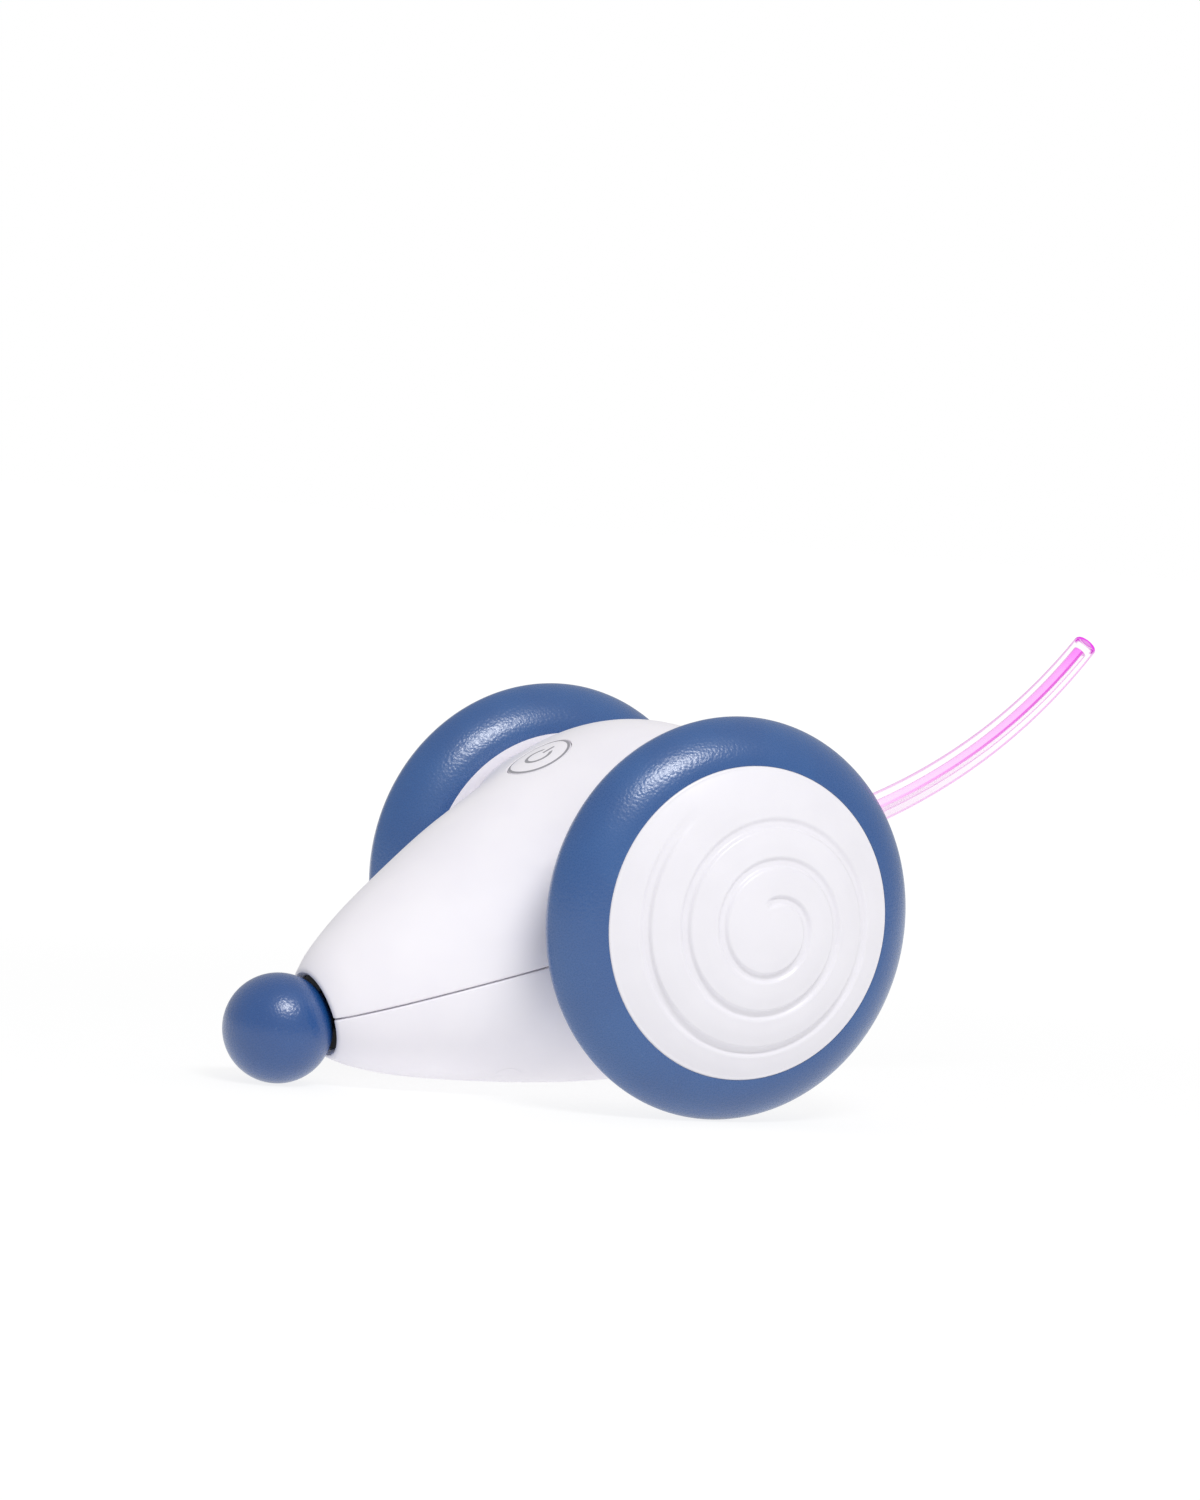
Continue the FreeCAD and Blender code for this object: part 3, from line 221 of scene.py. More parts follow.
class Graph:
    """The node graph of one material or world."""

    def __init__(self, owner: bpy.types.Material | bpy.types.World) -> None:
        """Empty the graph of a new material or world, but for its output.

        Args:
            owner: The material or world.
        """
        owner.use_nodes = True
        self.owner = owner
        self.tree = owner.node_tree
        self.tree.nodes.clear()
        kind = "World" if isinstance(owner, bpy.types.World) else "Material"
        self.output = self.node(f"ShaderNodeOutput{kind}")

    def node(self, kind: str, settings: dict | None = None, inputs: dict | None = None) -> bpy.types.Node:
        """Make any node.

        Args:
            kind: The node's type.
            settings: Its properties, set first. A ramp's stops are (place, colour) pairs under "stops".
            inputs: Values or links of its sockets, by name or number.

        Returns:
            The node.
        """
        made = self.tree.nodes.new(kind)
        for name, value in (settings or {}).items():
            if name == "stops":
                ramp = made.color_ramp.elements
                ramp[0].position, ramp[0].color = value[0]
                ramp[1].position, ramp[1].color = value[-1]
                for place, colour in value[1:-1]:
                    ramp.new(place).color = colour
            else:
                setattr(made, name, value)
        for name, value in (inputs or {}).items():
            source = value.socket if isinstance(value, Number) else value
            if isinstance(source, bpy.types.NodeSocket):
                self.tree.links.new(source, made.inputs[name])
            else:
                made.inputs[name].default_value = source
        return made

    @cached_property
    def place(self) -> bpy.types.NodeSocket:
        """Object coordinates, which are the toy's own, in metres."""
        return self.node("ShaderNodeTexCoord").outputs["Object"]

    def local(self, origin: Vector, turn_x: float) -> tuple[Number, Number, Number]:
        """Coordinates in millimetres about a point, in a frame turned about X.

        Args:
            origin: The point, in metres.
            turn_x: How far the frame is turned, in radians.

        Returns:
            x, y and z.
        """
        mapped = self.node("ShaderNodeMapping", {"vector_type": "TEXTURE"}, {
            "Vector": self.place, "Location": origin, "Rotation": (turn_x, 0, 0), "Scale": (MM, MM, MM)})
        parted = self.node("ShaderNodeSeparateXYZ", {}, {"Vector": mapped.outputs["Vector"]})
        return tuple(Number(self, parted.outputs[axis]) for axis in "XYZ")

    def noise(self, size_mm: float, detail: float = 2.0, stretch: Sequence[float] = (1, 1, 1)) -> Number:
        """Soft noise from 0 to 1.

        Args:
            size_mm: The size of its blotches.
            detail: How many finer layers it has.
            stretch: How many times finer it is along each axis.

        Returns:
            The noise.
        """
        mapped = self.node("ShaderNodeMapping", {}, {"Vector": self.place, "Scale": stretch})
        node = self.node("ShaderNodeTexNoise", {}, {
            "Vector": mapped.outputs["Vector"], "Scale": 1 / (size_mm * MM), "Detail": detail})
        return Number(self, node.outputs[0])

    def clouds(self, size_mm: float) -> Number:
        """Broad soft blotches from 0 to 1, with flat middles."""
        return self.noise(size_mm, CLOUD_DETAIL).rise(*CLOUD_RANGE)

    def attribute(self, name: str) -> Number:
        """A number stored on the piece's own vertices."""
        return Number(self, self.node("ShaderNodeAttribute", {"attribute_name": name}).outputs["Fac"])

    def rays(self, *kinds: str) -> Number:
        """Tell apart the rays that a surface is seen by.

        Args:
            kinds: The kinds of ray, as the Light Path node names them.

        Returns:
            1 for a ray of one of these kinds and 0 for the others.
        """
        path = self.node("ShaderNodeLightPath")
        return reduce(Number.most, [Number(self, path.outputs[f"Is {kind} Ray"]) for kind in kinds])

    def blend(self, share: Number, first: object, second: object) -> bpy.types.NodeSocket:
        """Mix two colours.

        Args:
            share: 0 for the first and 1 for the second.
            first: A colour or a link.
            second: A colour or a link.

        Returns:
            The mixed colour.
        """
        inputs = {"Factor": share, MIX_FIRST: first, MIX_SECOND: second}
        return self.node("ShaderNodeMix", {"data_type": "RGBA"}, inputs).outputs[MIX_RESULT]

    def bump(self, height: Number, depth_mm: float) -> bpy.types.NodeSocket:
        """Turn a height from 0 to 1 into a surface normal.

        Args:
            height: The height.
            depth_mm: How deep its full range is.

        Returns:
            The normal.
        """
        node = self.node("ShaderNodeBump", {}, {"Height": height, "Distance": depth_mm * MM, "Strength": 1.0})
        return node.outputs["Normal"]

    def shown(self, shader: bpy.types.Node) -> None:
        """Make a shader the one that shows."""
        self.tree.links.new(shader.outputs[0], self.output.inputs["Surface"])

    def finish(self, **sockets: object) -> bpy.types.Material:
        """Make the surface shader and link it.

        Args:
            sockets: The shader's inputs, with spaces written as underscores.

        Returns:
            The material.
        """
        inputs = {name.replace("_", " "): value for name, value in sockets.items()}
        self.shown(self.node("ShaderNodeBsdfPrincipled", {}, inputs))
        return self.owner


# Finishes
@dataclass(frozen=True)
class Surface:
    """What every finish has: a name, and a graph of its own."""

    name: str

    def graph(self) -> Graph:
        """Start the finish's material."""
        return Graph(bpy.data.materials.new(self.name))


@dataclass(frozen=True)
class Finish(Surface):
    """A plain hard surface: its colour, gloss and how it is broken up close to."""

    colour: Colour
    shade: Colour
    roughness: float = 0.4
    spread: float = 0.08
    metallic: float = 0.0
    grain: Grain = Grain.MOULDED
    grain_mm: float = 0.35
    grain_detail: float = 3
    depth_mm: float = 0.006
    coat: float = 0.0
    cloud_mm: float = 9.0
    cloud_share: float = 0.7

    def material(self) -> bpy.types.Material:
        """Build the finish as a material.

        Returns:
            The material.
        """
        graph = self.graph()
        fine = graph.noise(self.grain_mm, self.grain_detail, self.grain.value)
        broad = graph.noise(self.cloud_mm, CLOUD_DETAIL)
        share = (broad * self.cloud_share + fine * (1 - self.cloud_share)).rise(*CLOUD_RANGE)
        return graph.finish(
            Base_Color=graph.blend(share, self.colour, self.shade),
            Roughness=self.roughness + (fine - 0.5) * self.spread,
            Metallic=self.metallic, Coat_Weight=self.coat, Normal=graph.bump(fine, self.depth_mm))


@dataclass(frozen=True)
class WhitePlastic(Surface):
    """White satin plastic with a fine spark-eroded texture and a faint cloudiness."""

    colour: Colour = linear(247, 244, 250)
    shade: Colour = linear(243, 240, 247)
    roughness: float = 0.42
    spread: float = 0.1
    grain_mm: float = 0.22
    depth_mm: float = 0.004
    cloud_mm: float = 14.0
    scatter: float = 0.06
    scatter_mm: tuple[float, float, float] = (0.6, 0.6, 0.7)

    def base(self, graph: Graph) -> bpy.types.NodeSocket:
        """The plastic's own colour."""
        return graph.blend(graph.clouds(self.cloud_mm), self.colour, self.shade)

    def material(self) -> bpy.types.Material:
        """Build the finish as a material."""
        graph = self.graph()
        return self.finished(graph, self.base(graph))

    def finished(self, graph: Graph, colour: bpy.types.NodeSocket) -> bpy.types.Material:
        """Add gloss and texture to a colour.

        Args:
            graph: The graph that the colour is in.
            colour: The colour.

        Returns:
            The material.
        """
        fine = graph.noise(self.grain_mm)
        return graph.finish(
            Base_Color=colour, Roughness=self.roughness + (fine - 0.5) * self.spread,
            Normal=graph.bump(fine, self.depth_mm), Subsurface_Weight=self.scatter,
            Subsurface_Radius=self.scatter_mm, Subsurface_Scale=MM)


@dataclass(frozen=True)
class PrintedKey(WhitePlastic):
    """White plastic with a plain printed power symbol, an open ring with a bar, and a grey ring near its edge
    that is painted shade for the gap round the key.
    """

    # Grey of the printed power symbol, and of the painted shade ring for the gap round the key
    ink_and_painted_gap_shade: Colour = linear(150, 149, 156)
    # Where the painted shade ring for the gap round the key lies, and its half width
    painted_gap_shade_ring: float = 5.15
    painted_gap_shade_half: float = 0.24
    ring: float = 2.1
    stroke_half: float = 0.3
    gap: float = 1.15
    bar: Point = (0.9, 3.1)
    edge: float = 0.12

    def printed(self, origin: Vector, turn_x: float) -> bpy.types.Material:
        """Build the finish for a key.

        Args:
            origin: The middle of the key, in metres.
            turn_x: How far the key is tipped about X, in radians.

        Returns:
            The material.
        """
        graph = self.graph()
        x, y, _ = graph.local(origin, turn_x)
        reach = (x * x + y * y) ** 0.5
        # Painted shade: a grey ring just inside the key's edge, for the shadow in the gap round it
        painted_gap_shade_ring = reach.band(self.painted_gap_shade_ring, self.painted_gap_shade_half, self.edge)
        beside_gap = abs(x).rise(self.gap - self.edge / 2, self.gap + self.edge / 2)
        open_side = beside_gap.most(1 - y.rise(0, self.edge))
        ring = reach.band(self.ring, self.stroke_half, self.edge) * open_side
        middle = sum(self.bar) / 2
        bar = x.band(0, self.stroke_half, self.edge) * y.band(middle, middle - self.bar[0], self.edge)
        print_and_painted_gap_shade = painted_gap_shade_ring.most(ring).most(bar)
        return self.finished(graph, graph.blend(print_and_painted_gap_shade, self.base(graph), self.ink_and_painted_gap_shade))


@dataclass(frozen=True)
class Silicone(Surface):
    """Soft blue rubber: satin, with a leathery grain that breaks its highlights into sparks."""

    colour: Colour = linear(27, 83, 146)
    shade: Colour = linear(22, 77, 140)
    bloom: Colour = linear(82, 117, 168)
    roughness: float = 0.28
    spread: float = 0.16
    sheen: float = 0.55
    sheen_roughness: float = 0.5
    gloss: float = 0.76
    cloud_mm: float = 11.0
    cell_mm: float = 0.5
    cell_softness: float = 0.6
    cell_slope: float = 1.2
    cell_share: float = 0.6
    fine_mm: float = 0.25
    depth_mm: float = 0.055
    dust_mm: float = 0.4
    dust_range: Point = (0.62, 0.8)
    dust_share: float = 0.35

    def material(self) -> bpy.types.Material:
        """Build the finish as a material.

        Returns:
            The material.
        """
        graph = self.graph()
        cells = graph.node("ShaderNodeTexVoronoi", {"feature": "SMOOTH_F1"}, {
            "Vector": graph.place, "Scale": 1 / (self.cell_mm * MM), "Smoothness": self.cell_softness})
        grain = 1 - Number(graph, cells.outputs["Distance"]) * self.cell_slope
        fine = graph.noise(self.fine_mm)
        height = grain * self.cell_share + fine * (1 - self.cell_share)
        broad = graph.blend(graph.clouds(self.cloud_mm), self.colour, self.shade)
        dust = graph.noise(self.dust_mm).rise(*self.dust_range) * self.dust_share
        return graph.finish(
            Base_Color=graph.blend(dust, broad, self.bloom),
            Roughness=self.roughness + (fine - 0.5) * self.spread,
            Normal=graph.bump(height, self.depth_mm), Specular_IOR_Level=self.gloss,
            Coat_Weight=self.sheen, Coat_Roughness=self.sheen_roughness)


@dataclass(frozen=True)
class ClearTube(Surface):
    """Clear soft tube: pink at its outlines and round the rim of its tip, with a faint haze near its root."""

    root: Colour = linear(248, 214, 245)
    middle: Colour = linear(240, 186, 236)
    tip: Colour = linear(226, 44, 224)
    middle_at: float = 0.7
    tip_from: Point = (0.987, 0.992)
    tip_to: Point = (0.9985, 0.9999)
    facing: float = 0.5
    edge_from: Point = (0.42, 0.62)
    edge_alpha: float = 0.8
    rim_from: Point = (0.15, 0.4)
    haze: float = 0.3
    haze_to: float = 0.8
    haze_below: float = 0.3
    clear: float = 0.03
    glow: float = 0.12
    roughness: float = 0.12
    refraction: float = 1.41
    gloss: float = 0.3
    ripple_mm: float = 3.0
    depth_mm: float = 0.01

    def material(self) -> bpy.types.Material:
        """Build the finish as a material.

        Returns:
            The material.
        """
        graph = self.graph()
        along, below = graph.attribute("along"), graph.attribute("below")
        layer = graph.node("ShaderNodeLayerWeight", {}, {"Blend": self.facing})
        facing = Number(graph, layer.outputs["Facing"])
        edge = facing.rise(*self.edge_from) * self.edge_alpha
        haze = (1 - along.rise(0, self.haze_to)) * below.rise(0, self.haze_below) * self.haze
        end = along.rise(*self.tip_from)
        rim = end * (1 - along.rise(*self.tip_to)) * facing.rise(*self.rim_from)
        side = graph.blend(along.rise(0, self.middle_at), self.root, self.middle)
        colour = graph.blend(end, side, self.tip)
        return graph.finish(
            Base_Color=colour, Roughness=self.roughness, IOR=self.refraction, Specular_IOR_Level=self.gloss,
            Alpha=(haze + self.clear).most(edge).most(rim), Emission_Color=colour,
            Emission_Strength=self.glow, Normal=graph.bump(graph.noise(self.ripple_mm), self.depth_mm))


@dataclass(frozen=True)
class LitCore(Surface):
    """The clear core: its light turns from pale to deep pink, with a deep line where the light leaves it."""

    stops: tuple[tuple[float, Colour], ...] = (
        (0.2, linear(252, 227, 249)), (0.5, linear(249, 211, 244)), (0.75, linear(247, 191, 241)),
        (0.9, linear(245, 172, 240)), (1.0, linear(240, 116, 236)))
    line: Colour = linear(212, 84, 204)
    line_edge: Point = (0.955, 0.985)
    line_from: Point = (0.1, 0.9)
    line_share: float = 0.9
    clear_from: Point = (0.06, 0.3)
    clear: float = 0.97
    glow: float = 0.12
    roughness: float = 0.5
    gloss: float = 0.05
    ripple_mm: float = 2.0
    depth_mm: float = 0.01

    def material(self) -> bpy.types.Material:
        """Build the finish as a material.

        Returns:
            The material.
        """
        graph = self.graph()
        along = graph.attribute("along")
        ramp = graph.node("ShaderNodeValToRGB", {"stops": self.stops}, {"Fac": along})
        line = graph.attribute("strand").rise(*self.line_edge) * along.rise(*self.line_from)
        colour = graph.blend(line * self.line_share, ramp.outputs["Color"], self.line)
        return graph.finish(
            Base_Color=colour, Roughness=self.roughness, Specular_IOR_Level=self.gloss, Emission_Color=colour,
            Alpha=1 - graph.attribute("below").rise(*self.clear_from) * self.clear,
            Emission_Strength=self.glow, Normal=graph.bump(graph.noise(self.ripple_mm), self.depth_mm))


# Mesh tools
def shares(steps: int) -> list[float]:
    """Evenly spaced shares from 0 to 1, both ends included."""
    return [step / steps for step in range(steps + 1)]


def arc(centre: Point, radius: float, start: float, end: float, steps: int) -> list[Point]:
    """Points on a round stretch of an outline.

    Args:
        centre: The middle of the arc.
        radius: Its radius.
        start: The angle of its first point, in degrees.
        end: The angle of its last point, in degrees.
        steps: How many steps it has.

    Returns:
        The points, both ends included.
    """
    angles = [math.radians(start + (end - start) * share) for share in shares(steps)]
    return [(centre[0] + radius * math.cos(a), centre[1] + radius * math.sin(a)) for a in angles]


def spun(outline: Sequence[Point], steps: int, closed: bool = True) -> Mesh:
    """Turn an outline once round the X axis.

    Args:
        outline: Points as (x, distance from the axis).
        steps: How many steps the turn has.
        closed: Whether the last point joins the first.

    Returns:
        The mesh, with its faces outwards.
    """
    bm = bmesh.new()
    verts = [bm.verts.new((x, 0, reach)) for x, reach in outline]
    pairs = list(zip(verts, verts[1:]))
    if closed:
        pairs.append((verts[-1], verts[0]))
    edges = [bm.edges.new((a, b)) for a, b in pairs if max(a.co.z, b.co.z) > 0]
    bmesh.ops.spin(bm, geom=verts + edges, cent=(0, 0, 0), axis=(1, 0, 0), dvec=(0, 0, 0),
                   angle=2 * math.pi, steps=steps, use_merge=True, use_duplicate=False)
    bmesh.ops.remove_doubles(bm, verts=bm.verts, dist=WELD)
    bmesh.ops.recalc_face_normals(bm, faces=bm.faces)
    return bm


def smooth_step(part: float) -> float:
    """A soft step from 0 to 1, held at both ends."""
    part = min(max(part, 0.0), 1.0)
    return part * part * (3 - 2 * part)


def sheet(bm: Mesh, columns: int, rows: int, place: Callable[[float, float], Vector],
          sides: int, corner: bmesh.types.BMLayerItem) -> list:
    """Lay a grid over a curved surface.

    Args:
        bm: The mesh that gets the grid.
        columns: Faces across.
        rows: Faces along.
        place: The surface's point for a share across and a share along.
        sides: How many sides the surface has across, with a corner at each end of a side.
        corner: The layer that marks the corners' vertices.

    Returns:
        The new vertices.
    """
    verts = bmesh.ops.create_grid(bm, x_segments=columns, y_segments=rows, size=1)["verts"]
    for vert in verts:
        across, along = (vert.co.x + 1) / 2, (vert.co.y + 1) / 2
        vert[corner] = int(abs(across * sides - round(across * sides)) < WELD)
        vert.co = place(across, along)
    return verts


def hull(points: Iterable[Sequence[float]]) -> Mesh:
    """Stretch a solid round a set of points.

    Args:
        points: The points.

    Returns:
        The mesh, with its faces outwards.
    """
    bm = bmesh.new()
    for point in points:
        bm.verts.new(point)
    bmesh.ops.convex_hull(bm, input=bm.verts[:])
    bmesh.ops.recalc_face_normals(bm, faces=bm.faces)
    return bm


def block(x_range: Point, y_range: Point, z_range: Point) -> Mesh:
    """A box between two values on each axis."""
    return hull(product(x_range, y_range, z_range))


def rod(radius: float, start: Vector, end: Vector, segments: int = 96) -> Mesh:
    """A closed cylinder between two points.

    Args:
        radius: Its radius.
        start: The middle of one end.
        end: The middle of the other end.
        segments: Faces round it.

    Returns:
        The mesh.
    """
    bm = bmesh.new()
    span = end - start
    turn = span.to_track_quat("Z", "Y").to_matrix().to_4x4()
    place = Matrix.Translation((start + end) / 2) @ turn
    bmesh.ops.create_cone(bm, cap_ends=True, segments=segments, radius1=radius, radius2=radius,
                          depth=span.length, matrix=place)
    return bm


def pillar(radius: float, at: Point, low: float, high: float, segments: int = 32) -> Mesh:
    """A round bar along z, at a place across and along, between two heights."""
    return rod(radius, Vector((*at, low)), Vector((*at, high)), segments)


def moved(bm: Mesh, place: Matrix) -> Mesh:
    """Move, turn or scale a mesh by a matrix.

    Args:
        bm: The mesh.
        place: The matrix.

    Returns:
        The same mesh.
    """
    bmesh.ops.transform(bm, matrix=place, verts=bm.verts)
    return bm


def split(bm: Mesh, at: Vector, normal: Vector, cleared: bool = True) -> None:
    """Cut a mesh along a plane, which leaves it open there.

    Args:
        bm: The mesh.
        at: A point of the plane.
        normal: The plane's normal.
        cleared: Whether what lies behind the plane is deleted.
    """
    bmesh.ops.bisect_plane(bm, geom=bm.verts[:] + bm.edges[:] + bm.faces[:], dist=WELD,
                           plane_co=at, plane_no=normal, clear_inner=cleared)


def capped(bm: Mesh) -> Mesh:
    """Close every open edge of a mesh and point its faces outwards.

    Args:
        bm: The mesh.

    Returns:
        The same mesh.
    """
    bmesh.ops.holes_fill(bm, edges=[e for e in bm.edges if e.is_boundary], sides=0)
    bmesh.ops.recalc_face_normals(bm, faces=bm.faces)
    return bm


def eased(bm: Mesh, at: Vector, normal: Vector, radius: float, steps: int = 4) -> None:
    """Cut a skin with a plane, keep the side that the normal points to, and round the cut edge inwards.

    Args:
        bm: The skin, which the cut leaves open.
        at: A point of the plane.
        normal: The plane's normal.
        radius: The radius of the rounding.
        steps: How many steps the rounding has.
    """
    for share in shares(steps):
        height = radius * (1 - math.cos(math.pi / 2 * share))
        split(bm, at + normal * height, normal, share == 0)
    bm.normal_update()
    pulls = []
    for vert in bm.verts:
        height = (vert.co - at).dot(normal)
        if height < radius:
            sideways = vert.normal - normal * vert.normal.dot(normal)
            pull = radius - math.sqrt(max(radius ** 2 - (radius - height) ** 2, 0))
            pulls.append((vert, sideways.normalized() * -pull))
    for vert, pull in pulls:
        vert.co += pull


def joined(parts: Iterable[Mesh]) -> Mesh:
    """Put solids that don't touch one another into one mesh.

    Args:
        parts: The solids, which are used up.

    Returns:
        The mesh.
    """
    whole = bmesh.new()
    for part in parts:
        mesh = bpy.data.meshes.new("part")
        part.to_mesh(mesh)
        part.free()
        whole.from_mesh(mesh)
        bpy.data.meshes.remove(mesh)
    return whole


def as_object(bm: Mesh, name: str, place: Matrix | None = None) -> bpy.types.Object:
    """Turn a mesh into an object, with its place in its vertices.

    Args:
        bm: The mesh, which is used up.
        name: The object's name.
        place: Where it goes.

    Returns:
        The object.
    """
    if place is not None:
        moved(bm, place)
    mesh = bpy.data.meshes.new(name)
    bm.to_mesh(mesh)
    bm.free()
    made = bpy.data.objects.new(name, mesh)
    bpy.context.scene.collection.objects.link(made)
    return made


def smoothed(piece: bpy.types.Object, sharp_over: float = SHARP_ANGLE) -> None:
    """Shade a piece smooth, but for edges sharper than an angle in degrees."""
    piece.data.polygons.foreach_set("use_smooth", [True] * len(piece.data.polygons))
    piece.data.set_sharp_from_angle(angle=math.radians(sharp_over))


def welded(piece: bpy.types.Object) -> None:
    """Join the vertices of a piece that are as good as in one place.

    Args:
        piece: The piece, in millimetres.
    """
    bm = bmesh.new()
    bm.from_mesh(piece.data)
    bmesh.ops.remove_doubles(bm, verts=bm.verts, dist=WELD)
    bm.to_mesh(piece.data)
    bm.free()


def combined(piece: bpy.types.Object, operation: str, others: Iterable[Mesh]) -> None:
    """Cut solids from a piece or add them to it.

    Args:
        piece: The piece, whose mesh is replaced.
        operation: DIFFERENCE to cut or UNION to add.
        others: The solids, which are used up.
    """
    helpers = [as_object(bm, f"helper_{index}") for index, bm in enumerate(others)]
    for helper in helpers:
        modifier = piece.modifiers.new("combine", "BOOLEAN")
        modifier.operation = operation
        modifier.solver = "EXACT"
        modifier.object = helper
    view = bpy.context.evaluated_depsgraph_get()
    piece.data = bpy.data.meshes.new_from_object(piece.evaluated_get(view))
    piece.modifiers.clear()
    for helper in helpers:
        bpy.data.meshes.remove(helper.data)


# Measures that the sub-assemblies share
@dataclass(frozen=True)
class Stance:
    """How the body stands: where its own frame is in the toy's."""

    wheel_radius: float = 31.6
    ball_radius: float = 8.65
    ball_station: float = 65.0

    @cached_property
    def pitch(self) -> float:
        """How far the body tips nose down, in radians."""
        return math.asin((self.wheel_radius - self.ball_radius) / self.ball_station)

    @cached_property
    def axle(self) -> Vector:
        """The middle of the axle, in metres."""
        low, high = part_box(Side.LEFT.named("tyre"))
        return Vector((0, (low.y + high.y) / 2, (low.z + high.z) / 2))

    @cached_property
    def place(self) -> Matrix:
        """From the body's frame in millimetres to the toy's in metres."""
        return Matrix.Translation(self.axle) @ Matrix.Rotation(self.pitch, 4, "X") @ Matrix.Scale(MM, 4)


@dataclass(frozen=True)
class Section:
    """One cross-section of the body, and how much of the drum's square shape is left in it."""

    station: float
    half_height: float
    half_width: float
    square: float


@dataclass
class BodyForm:
    """The body's form: a drum with a swelling crown that runs out into a round nose cone."""

    crown_radius: float = 28.3
    drum_end_radius: float = 22.7
    drum_half_width: float = 24.2
    crown_flatness: float = 1.46
    sections: tuple[Section, ...] = (
        Section(0.0, 28.3, 24.2, 1.0), Section(9.0, 27.3, 24.2, 1.0), Section(18.5, 25.1, 23.9, 0.6),
        Section(28.0, 21.9, 21.6, 0.0), Section(38.0, 18.1, 18.1, 0.0), Section(48.0, 13.8, 13.8, 0.0),
        Section(55.0, 9.9, 9.9, 0.0), Section(58.3, 7.3, 7.3, 0.0))
    quarter: int = 40
    front_rows: int = 64
    back_rows: int = 72
    rim_rounding: float = 0.8
    rounding_steps: int = 4
    rounded_to_station: float = 20.0
    least_corner: float = 0.3

    @property
    def nose(self) -> float:
        """Station of the rim round the nose opening."""
        return self.sections[-1].station

    @staticmethod
    def ellipse_share(part: float, bow: float) -> float:
        """Rise of an elliptic bow over its chord: 1 in the middle and 0 at both ends.

        Args:
            part: Place along the chord, from -1 to 1.
            bow: How much of the ellipse the bow is, from 0 for a straight line to 1 for a half.

        Returns:
            The rise.
        """
        if bow < STRAIGHT:
            return 1.0
        low = math.sqrt(1 - bow)
        return (math.sqrt(1 - bow * part * part) - low) / (1 - low)

    def bell_share(self, part: float) -> float:
        """Rise of the drum's crown over its ends: 1 in the middle and 0 at both ends."""
        return 1 - self.crown_flatness * part ** 2 + (self.crown_flatness - 1) * part ** 4

    def section_point(self, cut: Section, across: float, inset: float) -> Vector:
        """A point of one of the given sections.

        Args:
            cut: The section.
            across: Share of the way round it, from its upper corner on the right.
            inset: How far inside the outer surface.

        Returns:
            The point, in the body's frame.
        """
        height, width = cut.half_height - inset, cut.half_width - inset
        end_height = math.sqrt(max((self.drum_end_radius - inset) ** 2 - cut.station ** 2, 0.0))
        rounded = (1 - cut.square) * math.sqrt(0.5)
        corner_x = width * (cut.square + rounded)
        corner_z = cut.square * end_height + rounded * height
        number, part = divmod(across * 4, 1)
        part = 2 * part - 1
        if number % 2 == 0:
            share = self.ellipse_share(part, 1 - (corner_z / height) ** 2)
            share = cut.square * self.bell_share(part) + (1 - cut.square) * share
            x, z = part * corner_x, corner_z + (height - corner_z) * share
        else:
            share = self.ellipse_share(part, 1 - (corner_x / width) ** 2)
            x, z = corner_x + (width - corner_x) * share, -part * corner_z
        turned = -1 if number in (2, 3) else 1
        return Vector((x * turned, -cut.station, z * turned))

    def rail(self, across: float, inset: float) -> list[tuple[Vector, Vector]]:
        """The points that one line along the nose cone passes, each with its slope.

        Args:
            across: Share of the way round the sections.
            inset: How far inside the outer surface.

        Returns:
            A point and its change for each millimetre of station, for every given section.
        """
        cuts = self.sections
        points = [self.section_point(cut, across, inset) for cut in cuts]
        made = [(points[0], Vector((0, -1, 0)))]
        for index in range(1, len(cuts)):
            after = min(index + 1, len(cuts) - 1)
            span = cuts[after].station - cuts[index - 1].station
            made.append((points[index], (points[after] - points[index - 1]) / span))
        return made

    def front_point(self, rail: list[tuple[Vector, Vector]], station: float) -> Vector:
        """A point of the nose cone, on a smooth curve through the given sections.

        Args:
            rail: The points that the curve passes.
            station: The distance forward of the axle.

        Returns:
            The point, in the body's frame.
        """
        cuts = self.sections
        index = max(i for i in range(len(cuts) - 1) if cuts[i].station <= station or i == 0)
        span = cuts[index + 1].station - cuts[index].station
        part = (station - cuts[index].station) / span
        (start, start_slope), (end, end_slope) = rail[index], rail[index + 1]
        start_slope, end_slope = start_slope * span, end_slope * span
        rise = 3 * (end - start) - 2 * start_slope - end_slope
        settle = 2 * (start - end) + start_slope + end_slope
        return start + part * (start_slope + part * (rise + part * settle))

    def back_point(self, across: float, along: float, inset: float) -> Vector:
        """A point of the drum's rear half.

        Args:
            across: Share of the way across the crown, from right to left.
            along: Share of the half turn from the top round the back.
            inset: How far inside the outer surface.

        Returns:
            The point, in the body's frame.
        """
        part = 2 * across - 1
        end_radius = self.drum_end_radius - inset
        reach = end_radius + (self.crown_radius - self.drum_end_radius) * self.bell_share(part)
        angle = math.pi * along
        x = part * (self.drum_half_width - inset)
        return Vector((x, reach * math.sin(angle), reach * math.cos(angle)))

    def skin(self, inset: float, end_station: float) -> Mesh:
        """The body's closed surface.

        Args:
            inset: How far inside the outer surface.
            end_station: Where it is closed at the nose.

        Returns:
            The mesh, with its faces outwards.
        """
        bm = bmesh.new()
        corner = bm.verts.layers.int.new(CORNER)
        columns = 4 * self.quarter
        rails = [self.rail(share % 1, inset) for share in shares(columns)]
        front = sheet(
            bm, columns, self.front_rows, lambda across, along: self.front_point(
                rails[round(across * columns)], end_station * (1 - along)), 4, corner)
        back = sheet(
            bm, self.quarter, self.back_rows, lambda across, along: self.back_point(
                across, along, inset), 1, corner)
        bmesh.ops.remove_doubles(bm, verts=front + back, dist=LOOSE_WELD)
        return capped(bm)

